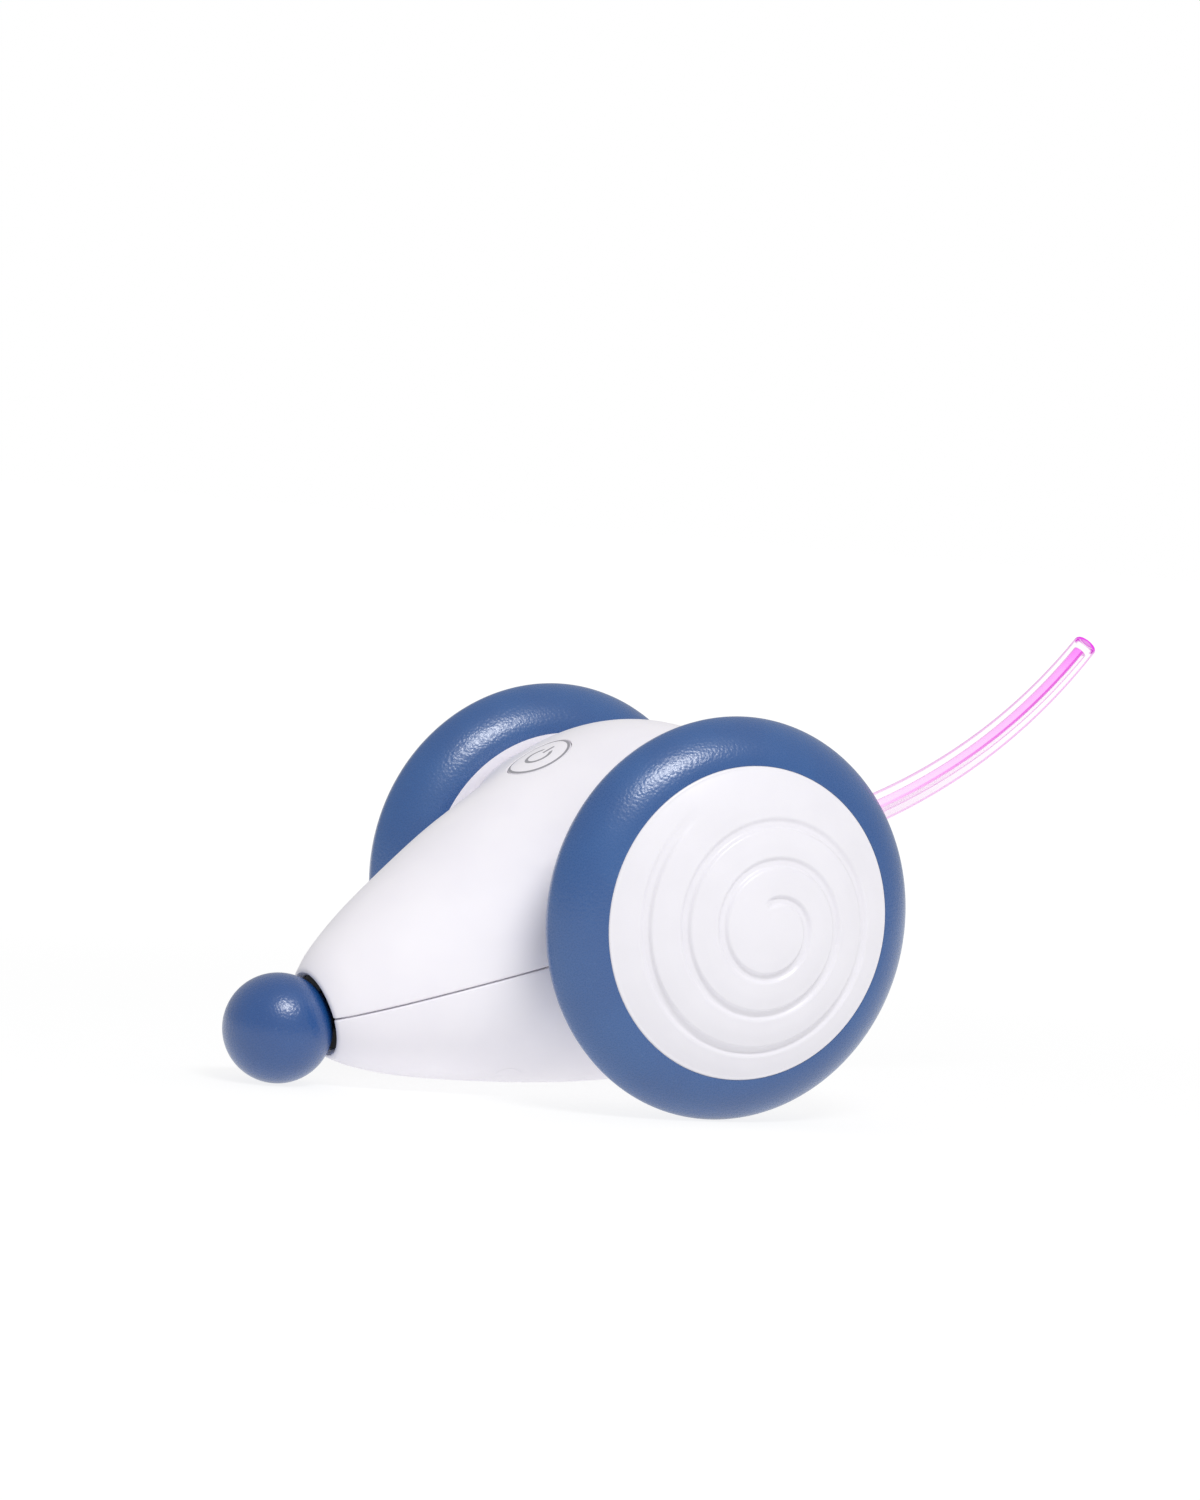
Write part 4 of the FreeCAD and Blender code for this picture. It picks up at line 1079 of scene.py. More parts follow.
    def with_round_corners(self, bm: Mesh) -> Mesh:
        """Round the corners between the crown and the drum's ends.

        Args:
            bm: A closed surface of the body.

        Returns:
            The same mesh.
        """
        corner = bm.verts.layers.int[CORNER]
        edges = [e for e in bm.edges if all(v[corner] for v in e.verts)
                 and max(-v.co.y for v in e.verts) < self.rounded_to_station
                 and e.calc_face_angle(0) > self.least_corner]
        bmesh.ops.bevel(bm, geom=edges, offset=self.rim_rounding, segments=self.rounding_steps, profile=0.5,
                        affect="EDGES", material=-1)
        return bm


# Sub-assemblies
@dataclass
class Maker:
    """What every sub-assembly needs: where things stand, and how a piece is entered."""

    frame: dict
    stance: Stance

    def enter(self, piece: bpy.types.Object, body: str, slot: str, material: bpy.types.Material,
              *nodes: str) -> bpy.types.Object:
        """Dress a piece, put it on its body and hide the nodes that it stands for.

        Args:
            piece: The piece.
            body: The body that it rides on.
            slot: Not used.
            material: Its material.
            nodes: The nodes that it replaces.

        Returns:
            The piece.
        """
        piece.data.materials.clear()
        piece.data.materials.append(material)
        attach(piece, body)
        if nodes:
            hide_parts(*nodes)
        LOG.info("%s: %d faces on %s", piece.name, len(piece.data.polygons), body)
        return piece


@dataclass
class Casing(Maker):
    """The two shells of the body, with their lip, posts, ribs and openings."""

    form: BodyForm = field(default_factory=BodyForm)
    wall: float = 1.8
    gap: float = 0.25
    edge_rounding: float = 0.3
    rim_rounding: float = 0.4
    nose_spare: float = 0.01
    hollow_end: float = 57.0
    lip_bottom: float = -1.0
    lip_height: float = 1.2
    lip_inset: float = 1.0
    lip_play: float = 0.1
    mouth_radius: float = 6.2
    mouth_depth: float = 6.6
    mouth_chamfer: Point = (0.65, 0.7)
    bush_radius: float = 3.0
    screws: tuple[Point, ...] = ((9.5, -33.0), (-9.5, -33.0), (8.0, 21.0), (-8.0, 21.0))
    post_radius: float = 2.5
    well_radius: float = 2.1
    seat_height: float = -7.6
    shank_radius: float = 1.0
    shank_length: float = 13.0
    board_screws: tuple[Point, ...] = ((8.5, -9.5), (-8.5, -9.5), (8.5, 13.0), (-8.5, 13.0))
    board_post_radius: float = 2.0
    board_depth: float = 7.5
    pilot_radius: float = 0.7
    pilot_end: float = -3.7
    socket_half_width: float = 4.59
    socket_half_height: float = 1.75
    socket_start: float = 20.5
    rib: float = 1.1
    flange_stations: Point = (49.0, 50.6)
    guide_radius: float = 6.15
    sleeve_radius: float = 4.2
    tail_rib_y: Point = (22.0, 23.6)
    tail_rib_half: float = 9.0
    gearbox_ribs: tuple[Point, ...] = ((12.2, 13.2), (21.2, 22.2))
    gearbox_rib_half: float = 9.0
    gearbox_radius: float = 20.3
    gearbox_floor: float = -14.0
    switch_post: tuple[Point, ...] = ((-1.2, 1.2), (-37.0, -31.5))
    switch_post_top: float = -3.0
    charge_post: tuple[Point, ...] = ((-4.0, 4.0), (19.3, 20.5))
    charge_post_top: float = -6.5
    far: float = 60.0
    overcut: float = 0.05
    socket_steps: int = 12
    screw_steps: int = 32
    flare_steps: int = 96
    sharp_angle: float = 38

    def closed_half(self, side: int) -> Mesh:
        """One half of the body as a closed solid with rounded edges.

        Args:
            side: 1 for the upper half and -1 for the lower.

        Returns:
            The mesh.
        """
        nose = self.form.nose
        bm = self.form.with_round_corners(self.form.skin(0, nose + self.nose_spare))
        eased(bm, Vector((0, -nose, 0)), Vector((0, 1, 0)), self.rim_rounding)
        capped(bm)
        eased(bm, Vector((0, 0, side * self.gap / 2)), Vector((0, 0, side)), self.edge_rounding)
        return capped(bm)

    def slab(self, inset: float, low: float, high: float) -> Mesh:
        """A flat slice of the body, inside its outer surface.

        Args:
            inset: How far inside.
            low: Height of its underside over the parting plane.
            high: Height of its top.

        Returns:
            The mesh.
        """
        bm = self.form.skin(inset, self.hollow_end)
        for height, way in ((low, 1), (high, -1)):
            split(bm, Vector((0, 0, height)), Vector((0, 0, way)))
            capped(bm)
        return bm

    def levelled(self, bm: Mesh) -> Mesh:
        """Bring a solid that is level on the floor into the body's tipped frame."""
        return moved(bm, Matrix.Rotation(-self.stance.pitch, 4, "X"))

    def ribs(self) -> Mesh:
        """Flat ribs and posts that hold the nose guide, gearboxes, tail, bump switch and charge board.

        Returns:
            Blocks, which reach out beyond the body.
        """
        back, front = self.flange_stations
        whole = (-self.far, self.far)
        tail = (-self.tail_rib_half, self.tail_rib_half)
        gearbox = (-self.gearbox_rib_half, self.gearbox_rib_half)
        solids = [
            block(whole, (-front - self.rib, -front), whole), block(whole, (-back, self.rib - back), whole),
            block(tail, self.tail_rib_y, tail), block(*self.switch_post, (-self.far, self.switch_post_top)),
            self.levelled(block(*self.charge_post, (-self.far, self.charge_post_top)))]
        for near, distant in self.gearbox_ribs:
            for x_range in ((near, distant), (-distant, -near)):
                for z_range in ((0, self.far), (-self.far, self.gearbox_floor)):
                    solids.append(block(x_range, gearbox, z_range))
        return joined(solids)

    def posts(self, board_place: Matrix) -> Mesh:
        """Round posts for the shells' screws, and those of the upper shell that the board is screwed to.

        Args:
            board_place: The board's frame, in the body's.

        Returns:
            The posts, which reach out beyond the body.
        """
        solids = [pillar(self.post_radius, at, -self.far, self.far) for at in self.screws]
        solids += [moved(pillar(self.board_post_radius, at, -self.board_depth, self.far), board_place)
                   for at in self.board_screws]
        return joined(solids)

    def room(self, board_place: Matrix) -> Mesh:
        """The hollow of the body, less its ribs and posts.

        Args:
            board_place: The board's frame, in the body's.

        Returns:
            The mesh.
        """
        room = as_object(self.form.skin(self.wall, self.hollow_end), "room")
        combined(room, "DIFFERENCE", [self.ribs(), self.posts(board_place)])
        bm = bmesh.new()
        bm.from_mesh(room.data)
        bpy.data.meshes.remove(room.data)
        return bm

    def rib_openings(self) -> Mesh:
        """Cutters for the ways through the ribs.

        Returns:
            The cutters, a little longer than the ribs are thick.
        """
        back, front = self.flange_stations
        along, across = Vector((0, 1, 0)), Vector((1, 0, 0))
        spans = [(self.guide_radius, along, (-front - self.rib, -front)),
                 (self.sleeve_radius, along, (-back, self.rib - back)),
                 (self.sleeve_radius, along, self.tail_rib_y)]
        for near, distant in self.gearbox_ribs:
            spans += [(self.gearbox_radius, across, span) for span in ((near, distant), (-distant, -near))]
        return joined(rod(radius, way * (start - self.overcut), way * (end + self.overcut))
                      for radius, way, (start, end) in spans)

    def screw_holes(self, board_place: Matrix) -> Mesh:
        """Cutters for the shells' screws, each a well and a narrower shank, and for the board's.

        Args:
            board_place: The board's frame, in the body's.

        Returns:
            The cutters.
        """
        top = self.seat_height + self.shank_length
        outline = [(-self.far, 0), (-self.far, self.well_radius), (self.seat_height, self.well_radius),
                   (self.seat_height, self.shank_radius), (top, self.shank_radius), (top, 0)]
        upright = Matrix.Rotation(-math.pi / 2, 4, "Y")
        solids = [moved(spun(outline, self.screw_steps, closed=False), Matrix.Translation((*at, 0)) @ upright)
                  for at in self.screws]
        pilot_start = -self.board_depth - self.rib
        solids += [moved(pillar(self.pilot_radius, at, pilot_start, self.pilot_end), board_place)
                   for at in self.board_screws]
        return joined(solids)

    def socket(self) -> Mesh:
        """Cutter for the charging socket: a slot with round ends, level on the floor.

        Returns:
            The cutter.
        """
        middle = self.socket_half_width - self.socket_half_height
        ends = arc((middle, 0), self.socket_half_height, -90, 90, self.socket_steps)
        ends += arc((-middle, 0), self.socket_half_height, 90, 270, self.socket_steps)
        return self.levelled(hull((x, y, z) for x, z in ends for y in (self.socket_start, self.far)))

    def flare(self) -> Mesh:
        """Cutter for the chamfer round the nose opening: a cone that widens forwards.

        Returns:
            The cutter.
        """
        wider, depth = self.mouth_chamfer
        start, end = self.form.nose - depth - WELD, self.form.nose + depth
        outline = [(start, 0), (start, self.mouth_radius), (end, self.mouth_radius + wider * 2), (end, 0)]
        return moved(spun(outline, self.flare_steps, closed=False), Matrix.Rotation(-math.pi / 2, 4, "Z"))

    def openings(self, key: "Key", tail: "Tail") -> list[Mesh]:
        """Cutters for the nose, the axles, the key, the tail and the charging socket.

        Args:
            key: The key that moves in its hole.
            tail: The tail that leaves through its own.

        Returns:
            The cutters.
        """
        aside, ahead = Vector((self.far, 0, 0)), Vector((0, -self.far - self.mouth_depth, 0))
        mouth_start = Vector((0, self.mouth_depth - self.form.nose - self.overcut, 0))
        root, bend = (Vector((0, *tail.centre(length)[:2])) for length in (0, tail.bend_y - tail.root_y))
        whole = joined([
            rod(self.mouth_radius, mouth_start, ahead), rod(self.bush_radius, -aside, aside), key.cutter(),
            self.socket(), rod(tail.root_radius, root, bend)])
        return [whole, self.flare()]

    def build(self) -> None:
        """Build both shells."""
        key, tail = Key(self.frame, self.stance), Tail(self.frame, self.stance)
        for side, name in ((1, "upper"), (-1, "lower")):
            shell = as_object(self.closed_half(side), f"{name}_casing")
            play = self.lip_play if side > 0 else 0
            lip = self.slab(self.lip_inset - play, self.lip_bottom, self.lip_height + play)
            combined(shell, "DIFFERENCE" if side > 0 else "UNION", [lip])
            cutters = [self.room(key.place), self.rib_openings(), self.screw_holes(key.place)]
            combined(shell, "DIFFERENCE", cutters + self.openings(key, tail))
            welded(shell)
            shell.data.transform(self.stance.place)
            smoothed(shell, self.sharp_angle)
            shell.modifiers.new("even shading", "WEIGHTED_NORMAL").keep_sharp = True
            self.enter(shell, "root", "white_shell", WhitePlastic("white_shell").material(), f"{name}_shell")


@dataclass
class Wheel(Maker):
    """A wheel: its soft tyre and its domed cover with a spiral groove."""

    tyre_x: Point = (24.9, 38.1)
    tyre_height: float = 7.1
    tyre_power: float = 1.6
    seat_radius: float = 22.9
    disc_radius: float = 24.0
    disc_thickness: float = 1.8
    tyre_points: int = 44
    tyre_steps: int = 240
    cover_radius: float = 24.5
    dome_rise: float = 6.0
    cover_wall: float = 1.8
    lip_radius: float = 21.2
    lip_wall: float = 1.6
    lip_length: float = 3.8
    edge_rounding: float = 0.45
    edge_from: float = 12.0
    edge_steps: int = 5
    dome_points: int = 124
    inside_points: int = 12
    dome_steps: int = 360
    spiral_centre: Point = (1.34, -0.93)
    spiral_pitch: float = 5.94
    spiral_first_radius: float = 4.0
    spiral_first_angle: float = 103.8
    spiral_quarters: float = 12.0
    groove_half: float = 0.95
    groove_soft: float = 0.6
    groove_depth: float = 0.58
    groove_start: float = 0.35
    groove_end: float = 0.4
    pillow: float = 0.1
    # The covers' own white, painted darker than the shell's white of the same plastic: painted shade that
    # keeps the domes darker
    cover_colour_painted_shade: Colour = linear(237, 235, 241)
    cover_second_tone_painted_shade: Colour = linear(233, 231, 237)
    cover_roughness: float = 0.3

    @property
    def dome_radius(self) -> float:
        """Radius of the dome's sphere."""
        return (self.cover_radius ** 2 + self.dome_rise ** 2) / (2 * self.dome_rise)

    @property
    def dome_centre(self) -> float:
        """Place of that sphere's centre along the axle."""
        return self.tyre_x[1] + self.dome_rise - self.dome_radius

    def on_dome(self, radius: float, reach: float) -> Point:
        """A point of a sphere about the dome's centre, at a reach from the axle."""
        return self.dome_centre + math.sqrt(radius ** 2 - reach ** 2), reach

    def tyre(self) -> Mesh:
        """The tyre's ring, which hooks over the rim and the inner disc.

        Returns:
            The mesh.
        """
        middle = sum(self.tyre_x) / 2
        half_width = self.tyre_x[1] - middle
        power = 2 / self.tyre_power
        outline = []
        for share in shares(self.tyre_points):
            angle = math.pi * (1 - share)
            across = math.copysign(abs(math.cos(angle)) ** power, math.cos(angle))
            rise = self.tyre_height * abs(math.sin(angle)) ** power
            outline.append((middle + half_width * across, self.cover_radius + rise))
        low, high = self.tyre_x[0] + self.disc_thickness, self.tyre_x[1] - self.disc_thickness
        outline += [(high, self.cover_radius), (high, self.seat_radius), (low, self.seat_radius),
                    (low, self.disc_radius), (self.tyre_x[0], self.disc_radius)]
        return spun(outline, self.tyre_steps)

    def groove(self, y: float, z: float) -> float:
        """How deep the dome is sunk or raised at a place.

        Args:
            y: Place across the wheel.
            z: Height on the wheel.

        Returns:
            Depth below the plain dome.
        """
        across, up = y - self.spiral_centre[0], z - self.spiral_centre[1]
        reach = math.hypot(across, up)
        angle = math.degrees(math.atan2(up, across))
        first = ((self.spiral_first_angle - angle) / 90) % 4
        turns = (reach - self.spiral_first_radius) / self.spiral_pitch - first / 4
        quarters = min(max(first + 4 * round(turns), 0), self.spiral_quarters)
        aside = abs(reach - self.spiral_first_radius - self.spiral_pitch * quarters / 4)
        fade = smooth_step(quarters / self.groove_start)
        fade *= smooth_step((self.spiral_quarters - quarters) / self.groove_end)
        sunk = smooth_step((self.groove_half - aside) / self.groove_soft) * self.groove_depth
        swell = smooth_step((aside - self.groove_half) / (self.spiral_pitch / 2 - self.groove_half))
        return fade * (sunk + self.pillow * (1 - swell))

    def cover(self) -> Mesh:
        """The domed cover, with its rounded edge, groove, hollow and lip.

        Returns:
            The mesh.
        """
        outside, inside = self.dome_radius, self.dome_radius - self.cover_wall
        seat = self.tyre_x[1] - self.disc_thickness
        lip_x, lip_inner = seat - self.lip_length, self.lip_radius - self.lip_wall
        flat_end = self.cover_radius - self.edge_rounding
        outline = [self.on_dome(outside, flat_end * share) for share in shares(self.dome_points)]
        edge_x = self.on_dome(outside, flat_end)[0] - self.edge_rounding
        outline += arc((edge_x, flat_end), self.edge_rounding, self.edge_from, 90, self.edge_steps)
        outline += [(seat, self.cover_radius), (seat, self.lip_radius), (lip_x, self.lip_radius),
                    (lip_x, lip_inner)]
        outline += [self.on_dome(inside, lip_inner * (1 - share)) for share in shares(self.inside_points)]
        bm = spun(outline, self.dome_steps, closed=False)
        centre = Vector((self.dome_centre, 0, 0))
        for vert in bm.verts:
            out = vert.co - centre
            if abs(out.length - outside) < LOOSE_WELD and vert.co.yz.length < flat_end - WELD:
                vert.co -= out.normalized() * self.groove(vert.co.y, vert.co.z)
        return bm

    def build(self) -> None:
        """Build both wheels' tyres and covers."""
        for side in Side:
            turn = Matrix.Rotation(0 if side is Side.LEFT else math.pi, 4, "Z")
            place, body = self.stance.place @ turn, side.named("wheel")
            tyre = as_object(self.tyre(), side.named("soft_tyre"), place)
            smoothed(tyre)
            rubber = Silicone("blue_silicone").material()
            self.enter(tyre, body, "blue_rubber", rubber, side.named("tyre"))
            cover = as_object(self.cover(), side.named("spiral_cover"), place)
            smoothed(cover)
            # The cover's white is painted darker than the shell's: painted shade
            finish = WhitePlastic("white_wheel", self.cover_colour_painted_shade, self.cover_second_tone_painted_shade, self.cover_roughness)
            self.enter(cover, body, "white_wheel", finish.material(), side.named("wheel_cover"))


@dataclass
class Nose(Maker):
    """The ball on the nose, and the spring behind it."""

    travel: float = 1.0
    spring_stations: Point = (52.3, 56.0)
    flat_station: float = 57.0
    stem_radius: float = 2.0
    stem_front: float = 62.0
    ball_points: int = 72
    ball_steps: int = 128
    # The ball's blue, painted darker than the tyres' blue of the same rubber: painted shade against the light
    # that the floor throws up onto it
    ball_colour_painted_shade: Colour = linear(12, 75, 142)
    ball_second_tone_painted_shade: Colour = linear(9, 70, 136)

    def build(self) -> None:
        """Build the ball, with the flat back and the hole that the stem fits."""
        radius, centre = self.stance.ball_radius, self.stance.ball_station
        flat = math.degrees(math.acos((self.flat_station - centre) / radius))
        outline = arc((centre, 0), radius, 0, flat, self.ball_points)
        outline += [(self.flat_station, self.stem_radius), (self.stem_front, self.stem_radius),
                    (self.stem_front, 0)]
        place = self.stance.place @ Matrix.Rotation(-math.pi / 2, 4, "Z")
        ball = as_object(spun(outline, self.ball_steps, closed=False), "soft_ball", place)
        smoothed(ball)
        # A darker copy of the tyres' blue rubber: painted shade
        finish = Silicone("blue_nose", self.ball_colour_painted_shade, self.ball_second_tone_painted_shade)
        self.enter(ball, "nose", "blue_rubber", finish.material(), "nose_ball")
        self.press_spring()

    def press_spring(self) -> None:
        """Give the spring a mesh of its own."""
        seat, collar = self.spring_stations
        place = self.stance.place
        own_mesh(self.frame["nodes"]["nose_spring"])


@dataclass
class Key(Maker):
    """The round key on top, and the hole in the shell that it moves in."""

    form: BodyForm = field(default_factory=BodyForm)
    station: float = 10.3
    height: float = 27.05
    tilt: float = 10.6
    radius: float = 5.45
    hole_radius: float = 5.6
    hole_depth: float = 3.0
    flange_radius: float = 6.5
    flange_depths: Point = (2.8, 3.8)
    stem_radius: float = 1.5
    stem_depth: float = 4.1
    edge: float = 0.18
    edge_from: float = 20.0
    edge_steps: int = 4
    rings: int = 26
    steps: int = 128
    proud: float = 5.0
    mouth_flare: float = 1.2

    @property
    def place(self) -> Matrix:
        """From the key's frame, with z outwards, to the body's."""
        turn = Matrix.Rotation(math.radians(self.tilt), 4, "X")
        return Matrix.Translation((0, -self.station, self.height)) @ turn

    @cached_property
    def surface(self) -> BVHTree:
        """The body's surface, to find heights on.

        Returns:
            The surface's faces, sorted for ray casts.
        """
        bm = self.form.skin(0, self.form.nose)
        tree = BVHTree.FromBMesh(bm)
        bm.free()
        return tree

    def follow(self, bm: Mesh, above: float) -> None:
        """Shift the top of a spun piece, so that its z = 0 follows the body's surface.

        Args:
            bm: The piece, in the key's frame.
            above: Vertices higher than this are shifted.
        """
        down = self.place.to_3x3() @ Vector((0, 0, -1))
        for vert in bm.verts:
            if vert.co.z > above:
                start = self.place @ Vector((vert.co.x, vert.co.y, self.proud))
                _, _, _, distance = self.surface.ray_cast(start, down)
                vert.co.z += self.proud - distance

    def upright(self, outline: list[Point]) -> Mesh:
        """Spin an outline of (height, reach) about the key's upright axis."""
        return moved(spun(outline, self.steps, closed=False), Matrix.Rotation(-math.pi / 2, 4, "Y"))

    def cutter(self) -> Mesh:
        """The hole in the shell, with a rounded mouth that follows the surface.

        Returns:
            The cutter, in the body's frame.
        """
        mouth = [(self.edge * (math.sin(a) - 1), self.hole_radius + self.edge * (1 - math.cos(a)))
                 for a in (math.pi / 2 * share for share in shares(self.edge_steps))]
        outline = [(-self.hole_depth, 0), (-self.hole_depth, self.hole_radius)] + mouth
        outline += [(self.proud, self.hole_radius + self.edge * self.mouth_flare), (self.proud, 0)]
        bm = self.upright(outline)
        self.follow(bm, -self.hole_depth / 2)
        return moved(bm, self.place)

    def build(self) -> None:
        """Build the key with its flange and stem."""
        edge_reach = self.radius - self.edge
        outline = [(0, edge_reach * share) for share in shares(self.rings)]
        outline += arc((-self.edge, edge_reach), self.edge, self.edge_from, 90, self.edge_steps)
        top, bottom = (-depth for depth in self.flange_depths)
        outline += [(top, self.radius), (top, self.flange_radius), (bottom, self.flange_radius),
                    (bottom, self.stem_radius), (-self.stem_depth, self.stem_radius), (-self.stem_depth, 0)]
        bm = self.upright(outline)
        self.follow(bm, top / 2)
        place = self.stance.place @ self.place
        key = as_object(bm, "round_key", place)
        smoothed(key)
        tip = self.stance.pitch + math.radians(self.tilt)
        finish = PrintedKey("white_key").printed(place.translation, tip)
        self.enter(key, "key", "white_shell", finish, "power_key")


@dataclass
class Tail(Maker):
    """The clear tail and the core that carries its light."""

    root_y: float = 22.0
    exit_y: float = 28.3
    bend_y: float = 33.9
    slope: float = -3.85
    arcs: tuple[Point, ...] = ((103.0, 18.0), (96.0, 17.1))
    root_radius: float = 2.7
    tip_radius: float = 2.0
    core_radius: float = 1.1
    core_play: float = 0.04
    closed_end: float = 2.0
    tip_rounding: float = 0.7
    tip_from: float = 84.0
    tip_steps: int = 6
    rows: int = 90
    sides: int = 64
    strand_turn: float = 171.0

    @cached_property
    def length(self) -> float:
        """Length of the centre line."""
        straight = (self.bend_y - self.root_y) / math.cos(math.radians(self.slope))
        return straight + sum(radius * math.radians(turn) for radius, turn in self.arcs)

    def centre(self, length: float) -> tuple[float, float, float]:
        """Follow the centre line.

        Args:
            length: How far from its root.

        Returns:
            y, z and the slope in radians.
        """
        slope = math.radians(self.slope)
        y, z = self.root_y, (self.root_y - self.exit_y) * math.tan(slope)
        run = min(length, (self.bend_y - self.root_y) / math.cos(slope))
        y, z, length = y + run * math.cos(slope), z + run * math.sin(slope), length - run
        for radius, turn in self.arcs:
            angle = min(length / radius, math.radians(turn))
            y += radius * (math.sin(slope + angle) - math.sin(slope))
            z -= radius * (math.cos(slope + angle) - math.cos(slope))
            slope, length = slope + angle, length - angle * radius
        return y, z, slope

    def bent(self, outline: Sequence[Point], closed: bool, name: str) -> bpy.types.Object:
        """Spin an outline of (length, radius) and bend it along the tail.

        Args:
            outline: The outline.
            closed: Whether it closes on itself.
            name: The piece's name.

        Returns:
            The piece, with its length and its turn stored on its vertices.
        """
        bm = spun(outline, self.sides, closed)
        along = bm.verts.layers.float.new("along")
        strand = bm.verts.layers.float.new("strand")
        below = bm.verts.layers.float.new("below")
        for vert in bm.verts:
            turn = math.atan2(vert.co.z, vert.co.y) - math.radians(self.strand_turn)
            vert[along] = vert.co.x / self.length
            vert[strand], vert[below] = math.cos(turn), math.sin(turn)
            y, z, slope = self.centre(vert.co.x)
            up = Vector((0, -math.sin(slope), math.cos(slope)))
            vert.co = Vector((-vert.co.y, y, z)) + up * vert.co.z
        return as_object(bm, name, self.stance.place)

    def build(self) -> None:
        """Build the tube and its core."""
        end, bore_end = self.length - self.tip_rounding, self.length - self.closed_end
        core_end, bore = bore_end - self.core_play, self.core_radius + self.core_play
        taper = (self.tip_radius - self.root_radius) / self.length
        outside = [(end * share, self.root_radius + taper * end * share) for share in shares(self.rows)]
        outside += arc((end, self.tip_radius - self.tip_rounding), self.tip_rounding, self.tip_from, 0,
                       self.tip_steps)
        outside.append((self.length, 0))
        inside = [(bore_end, 0)] + [(bore_end * (1 - share), bore) for share in shares(self.rows)]
        tube = self.bent(outside + inside, True, "tail_sleeve")
        smoothed(tube)
        self.enter(tube, "root", "clear_tail", ClearTube("clear_pink").material(), "tail_tube")
        outline = [(0, 0)] + [(core_end * share, self.core_radius) for share in shares(self.rows)]
        core = self.bent(outline + [(core_end, 0)], False, "tail_core")
        smoothed(core)
        self.enter(core, "root", "light_guide", LitCore("pink_core").material(), "tail_light_guide")


@dataclass
class Inside(Maker):
    """The nodes that keep their own shape, dressed by their material slots."""

    def finishes(self) -> dict[str, bpy.types.Material]:
        """Make the materials of the nodes that show as they are.

        Returns:
            One material for each slot.
        """
        turned, brushed = Grain.TURNED, Grain.BRUSHED
        plain = (
            Finish("black_plastic", linear(27, 27, 30), linear(35, 35, 38), 0.5),
            Finish("gear_plastic", linear(232, 228, 214), linear(224, 219, 203), 0.35),
            Finish("steel", linear(200, 201, 205), linear(176, 177, 182), 0.28, 0.16, 1.0, turned),
            Finish("motor_can", linear(186, 188, 192), linear(168, 170, 176), 0.32, 0.18, 1.0, brushed),
            Finish("brass", linear(219, 195, 139), linear(201, 172, 112), 0.3, 0.14, 1.0, turned),
            Finish("bronze", linear(197, 163, 124), linear(176, 138, 98), 0.42, 0.2, 1.0),
            Finish("board", linear(22, 84, 52), linear(16, 70, 43), 0.35, 0.1, coat=0.4),
            Finish("chip_black", linear(30, 30, 33), linear(40, 40, 43), 0.55),
            Finish("battery_wrap", linear(176, 180, 188), linear(160, 165, 175), 0.3, 0.12, 0.6),
            Finish("socket_steel", linear(206, 206, 210), linear(186, 187, 192), 0.25, 0.12, 1.0),
            Finish("lamp", linear(250, 150, 240), linear(244, 120, 232), 0.2, 0.05),
        )
        made = {finish.name: finish.material() for finish in plain}
        for name in ("white_shell", "white_wheel"):
            made[name] = WhitePlastic(f"{name}_node").material()
        return made

    def build(self) -> None:
        """Dress every node that shows as it is."""
        made = self.finishes()
        for part in self.frame["record"]["subparts"]:
            slot = part["material_slot"]
            if slot in made:
                node = self.frame["nodes"][part["node"]]
                node.data.materials.clear()
                node.data.materials.append(made[slot])


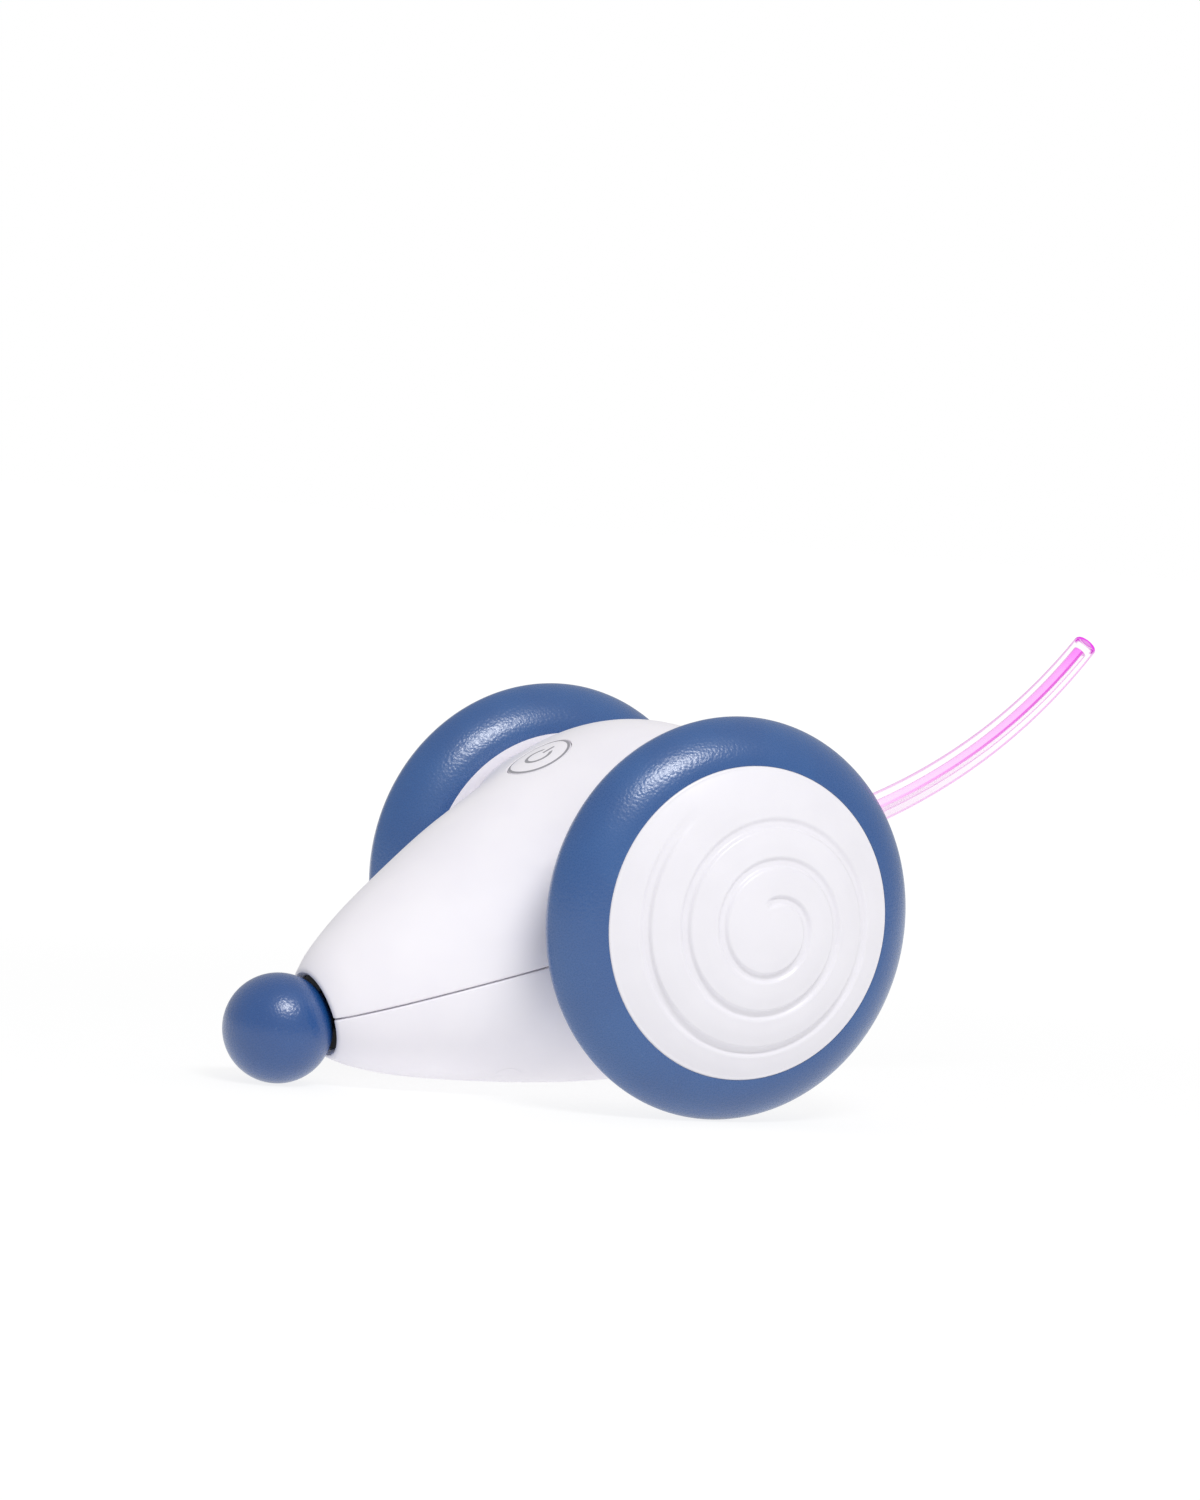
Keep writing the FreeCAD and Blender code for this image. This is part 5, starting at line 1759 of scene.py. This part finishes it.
@dataclass
class Studio(Maker):
    """Floor, light and camera. Lengths are in metres, but aside and above are in millimetres."""

    floor_radius: float = 4.0
    floor_steps: int = 96
    floor_matt: float = 0.92
    floor_white: float = 0.8
    floor_glow: float = 1.045
    floor_fade: Point = (0.1, 0.4)
    bounce_white: float = 0.6
    turn: float = 62.294
    lift: float = 5.943
    fitted_pitch: float = 15.19
    distance: float = 0.954
    aside: float = 5.301
    above: float = -23.344
    focal_pixels: float = 5947.0
    image_height: float = 1500.0
    sensor: float = 36.0
    sight: float = 100.0
    world_strength: float = 0.58
    key_direction: tuple[float, float, float] = (0.627, -0.09, 0.757)
    key_distance: float = 0.9
    key_length: float = 0.4
    key_width: float = 0.15
    key_power: float = 3.75

    def floor(self) -> None:
        """A wide pale floor that keeps the toy's shadow."""
        bm = bmesh.new()
        bmesh.ops.create_circle(bm, cap_ends=True, radius=self.floor_radius, segments=self.floor_steps)
        ground = as_object(bm, "studio_floor")
        graph = Graph(bpy.data.materials.new("pale_floor"))
        seen = graph.rays("Camera", "Glossy", "Transmission")
        distance = graph.node("ShaderNodeVectorMath", {"operation": "LENGTH"}, {0: graph.place})
        fade = Number(graph, distance.outputs["Value"]).rise(*self.floor_fade)
        white = graph.node("ShaderNodeEmission", {}, {"Color": (1, 1, 1, 1), "Strength": self.floor_glow})
        matt = graph.node("ShaderNodeBsdfDiffuse", {}, {"Color": (*[self.floor_matt] * 3, 1)})
        share = seen * (self.floor_white + fade * (1 - self.floor_white)) + (1 - seen) * self.bounce_white
        mix = graph.node("ShaderNodeMixShader", {}, {0: share, 1: matt.outputs[0], 2: white.outputs[0]})
        graph.shown(mix)
        ground.data.materials.append(graph.owner)

    def room(self) -> None:
        """An even white room, seen at full white and less bright than that as a light."""
        world = bpy.data.worlds.new("studio")
        bpy.context.scene.world = world
        graph = Graph(world)
        level = self.world_strength + graph.rays("Camera", "Transmission") * (1 - self.world_strength)
        graph.shown(graph.node("ShaderNodeBackground", {}, {"Color": (1, 1, 1, 1), "Strength": level}))

    def lamp(self) -> None:
        """One soft lamp above the toy's left-hand side, turned towards it."""
        lamp = bpy.data.lights.new("soft_box", "AREA")
        lamp.shape = "ELLIPSE"
        lamp.size = self.key_length
        lamp.size_y = self.key_width
        lamp.energy = self.key_power
        holder = bpy.data.objects.new("soft_box", lamp)
        bpy.context.scene.collection.objects.link(holder)
        towards = Vector(self.key_direction).normalized()
        place = self.stance.axle + towards * self.key_distance
        holder.matrix_world = Matrix.Translation(place) @ towards.to_track_quat("Z", "Y").to_matrix().to_4x4()

    def camera(self) -> None:
        """The photograph's view: turned to the toy's left of its nose, and a little above."""
        turn, lift = math.radians(self.turn), math.radians(self.lift)
        back = Vector((math.sin(turn) * math.cos(lift), -math.cos(turn) * math.cos(lift), math.sin(lift)))
        right = Vector((math.cos(turn), math.sin(turn), 0))
        up = back.cross(right)
        offset = back * self.distance - right * self.aside * MM - up * self.above * MM
        tip = Matrix.Rotation(self.stance.pitch - math.radians(self.fitted_pitch), 4, "X")
        axes = Matrix((right, up, back)).transposed().to_4x4()
        lens = bpy.data.cameras.new("camera")
        lens.sensor_width = self.sensor
        lens.lens = self.focal_pixels * self.sensor / self.image_height
        lens.clip_end = self.sight
        camera = bpy.data.objects.new("camera", lens)
        bpy.context.scene.collection.objects.link(camera)
        camera.matrix_world = Matrix.Translation(self.stance.axle) @ tip @ Matrix.Translation(offset) @ axes
        bpy.context.scene.camera = camera

    def build(self) -> None:
        """Build the whole studio."""
        self.floor()
        self.room()
        self.lamp()
        self.camera()
        bpy.context.scene.view_settings.view_transform = "Standard"


def main() -> None:
    """Build the toy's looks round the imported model."""
    logging.basicConfig(level=logging.INFO, format="%(name)s: %(message)s")
    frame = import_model()
    stance = Stance()
    for maker in (Casing, Wheel, Nose, Key, Tail, Inside, Studio):
        maker(frame, stance).build()
    bpy.context.view_layer.update()


if __name__ == "__main__":
    main()
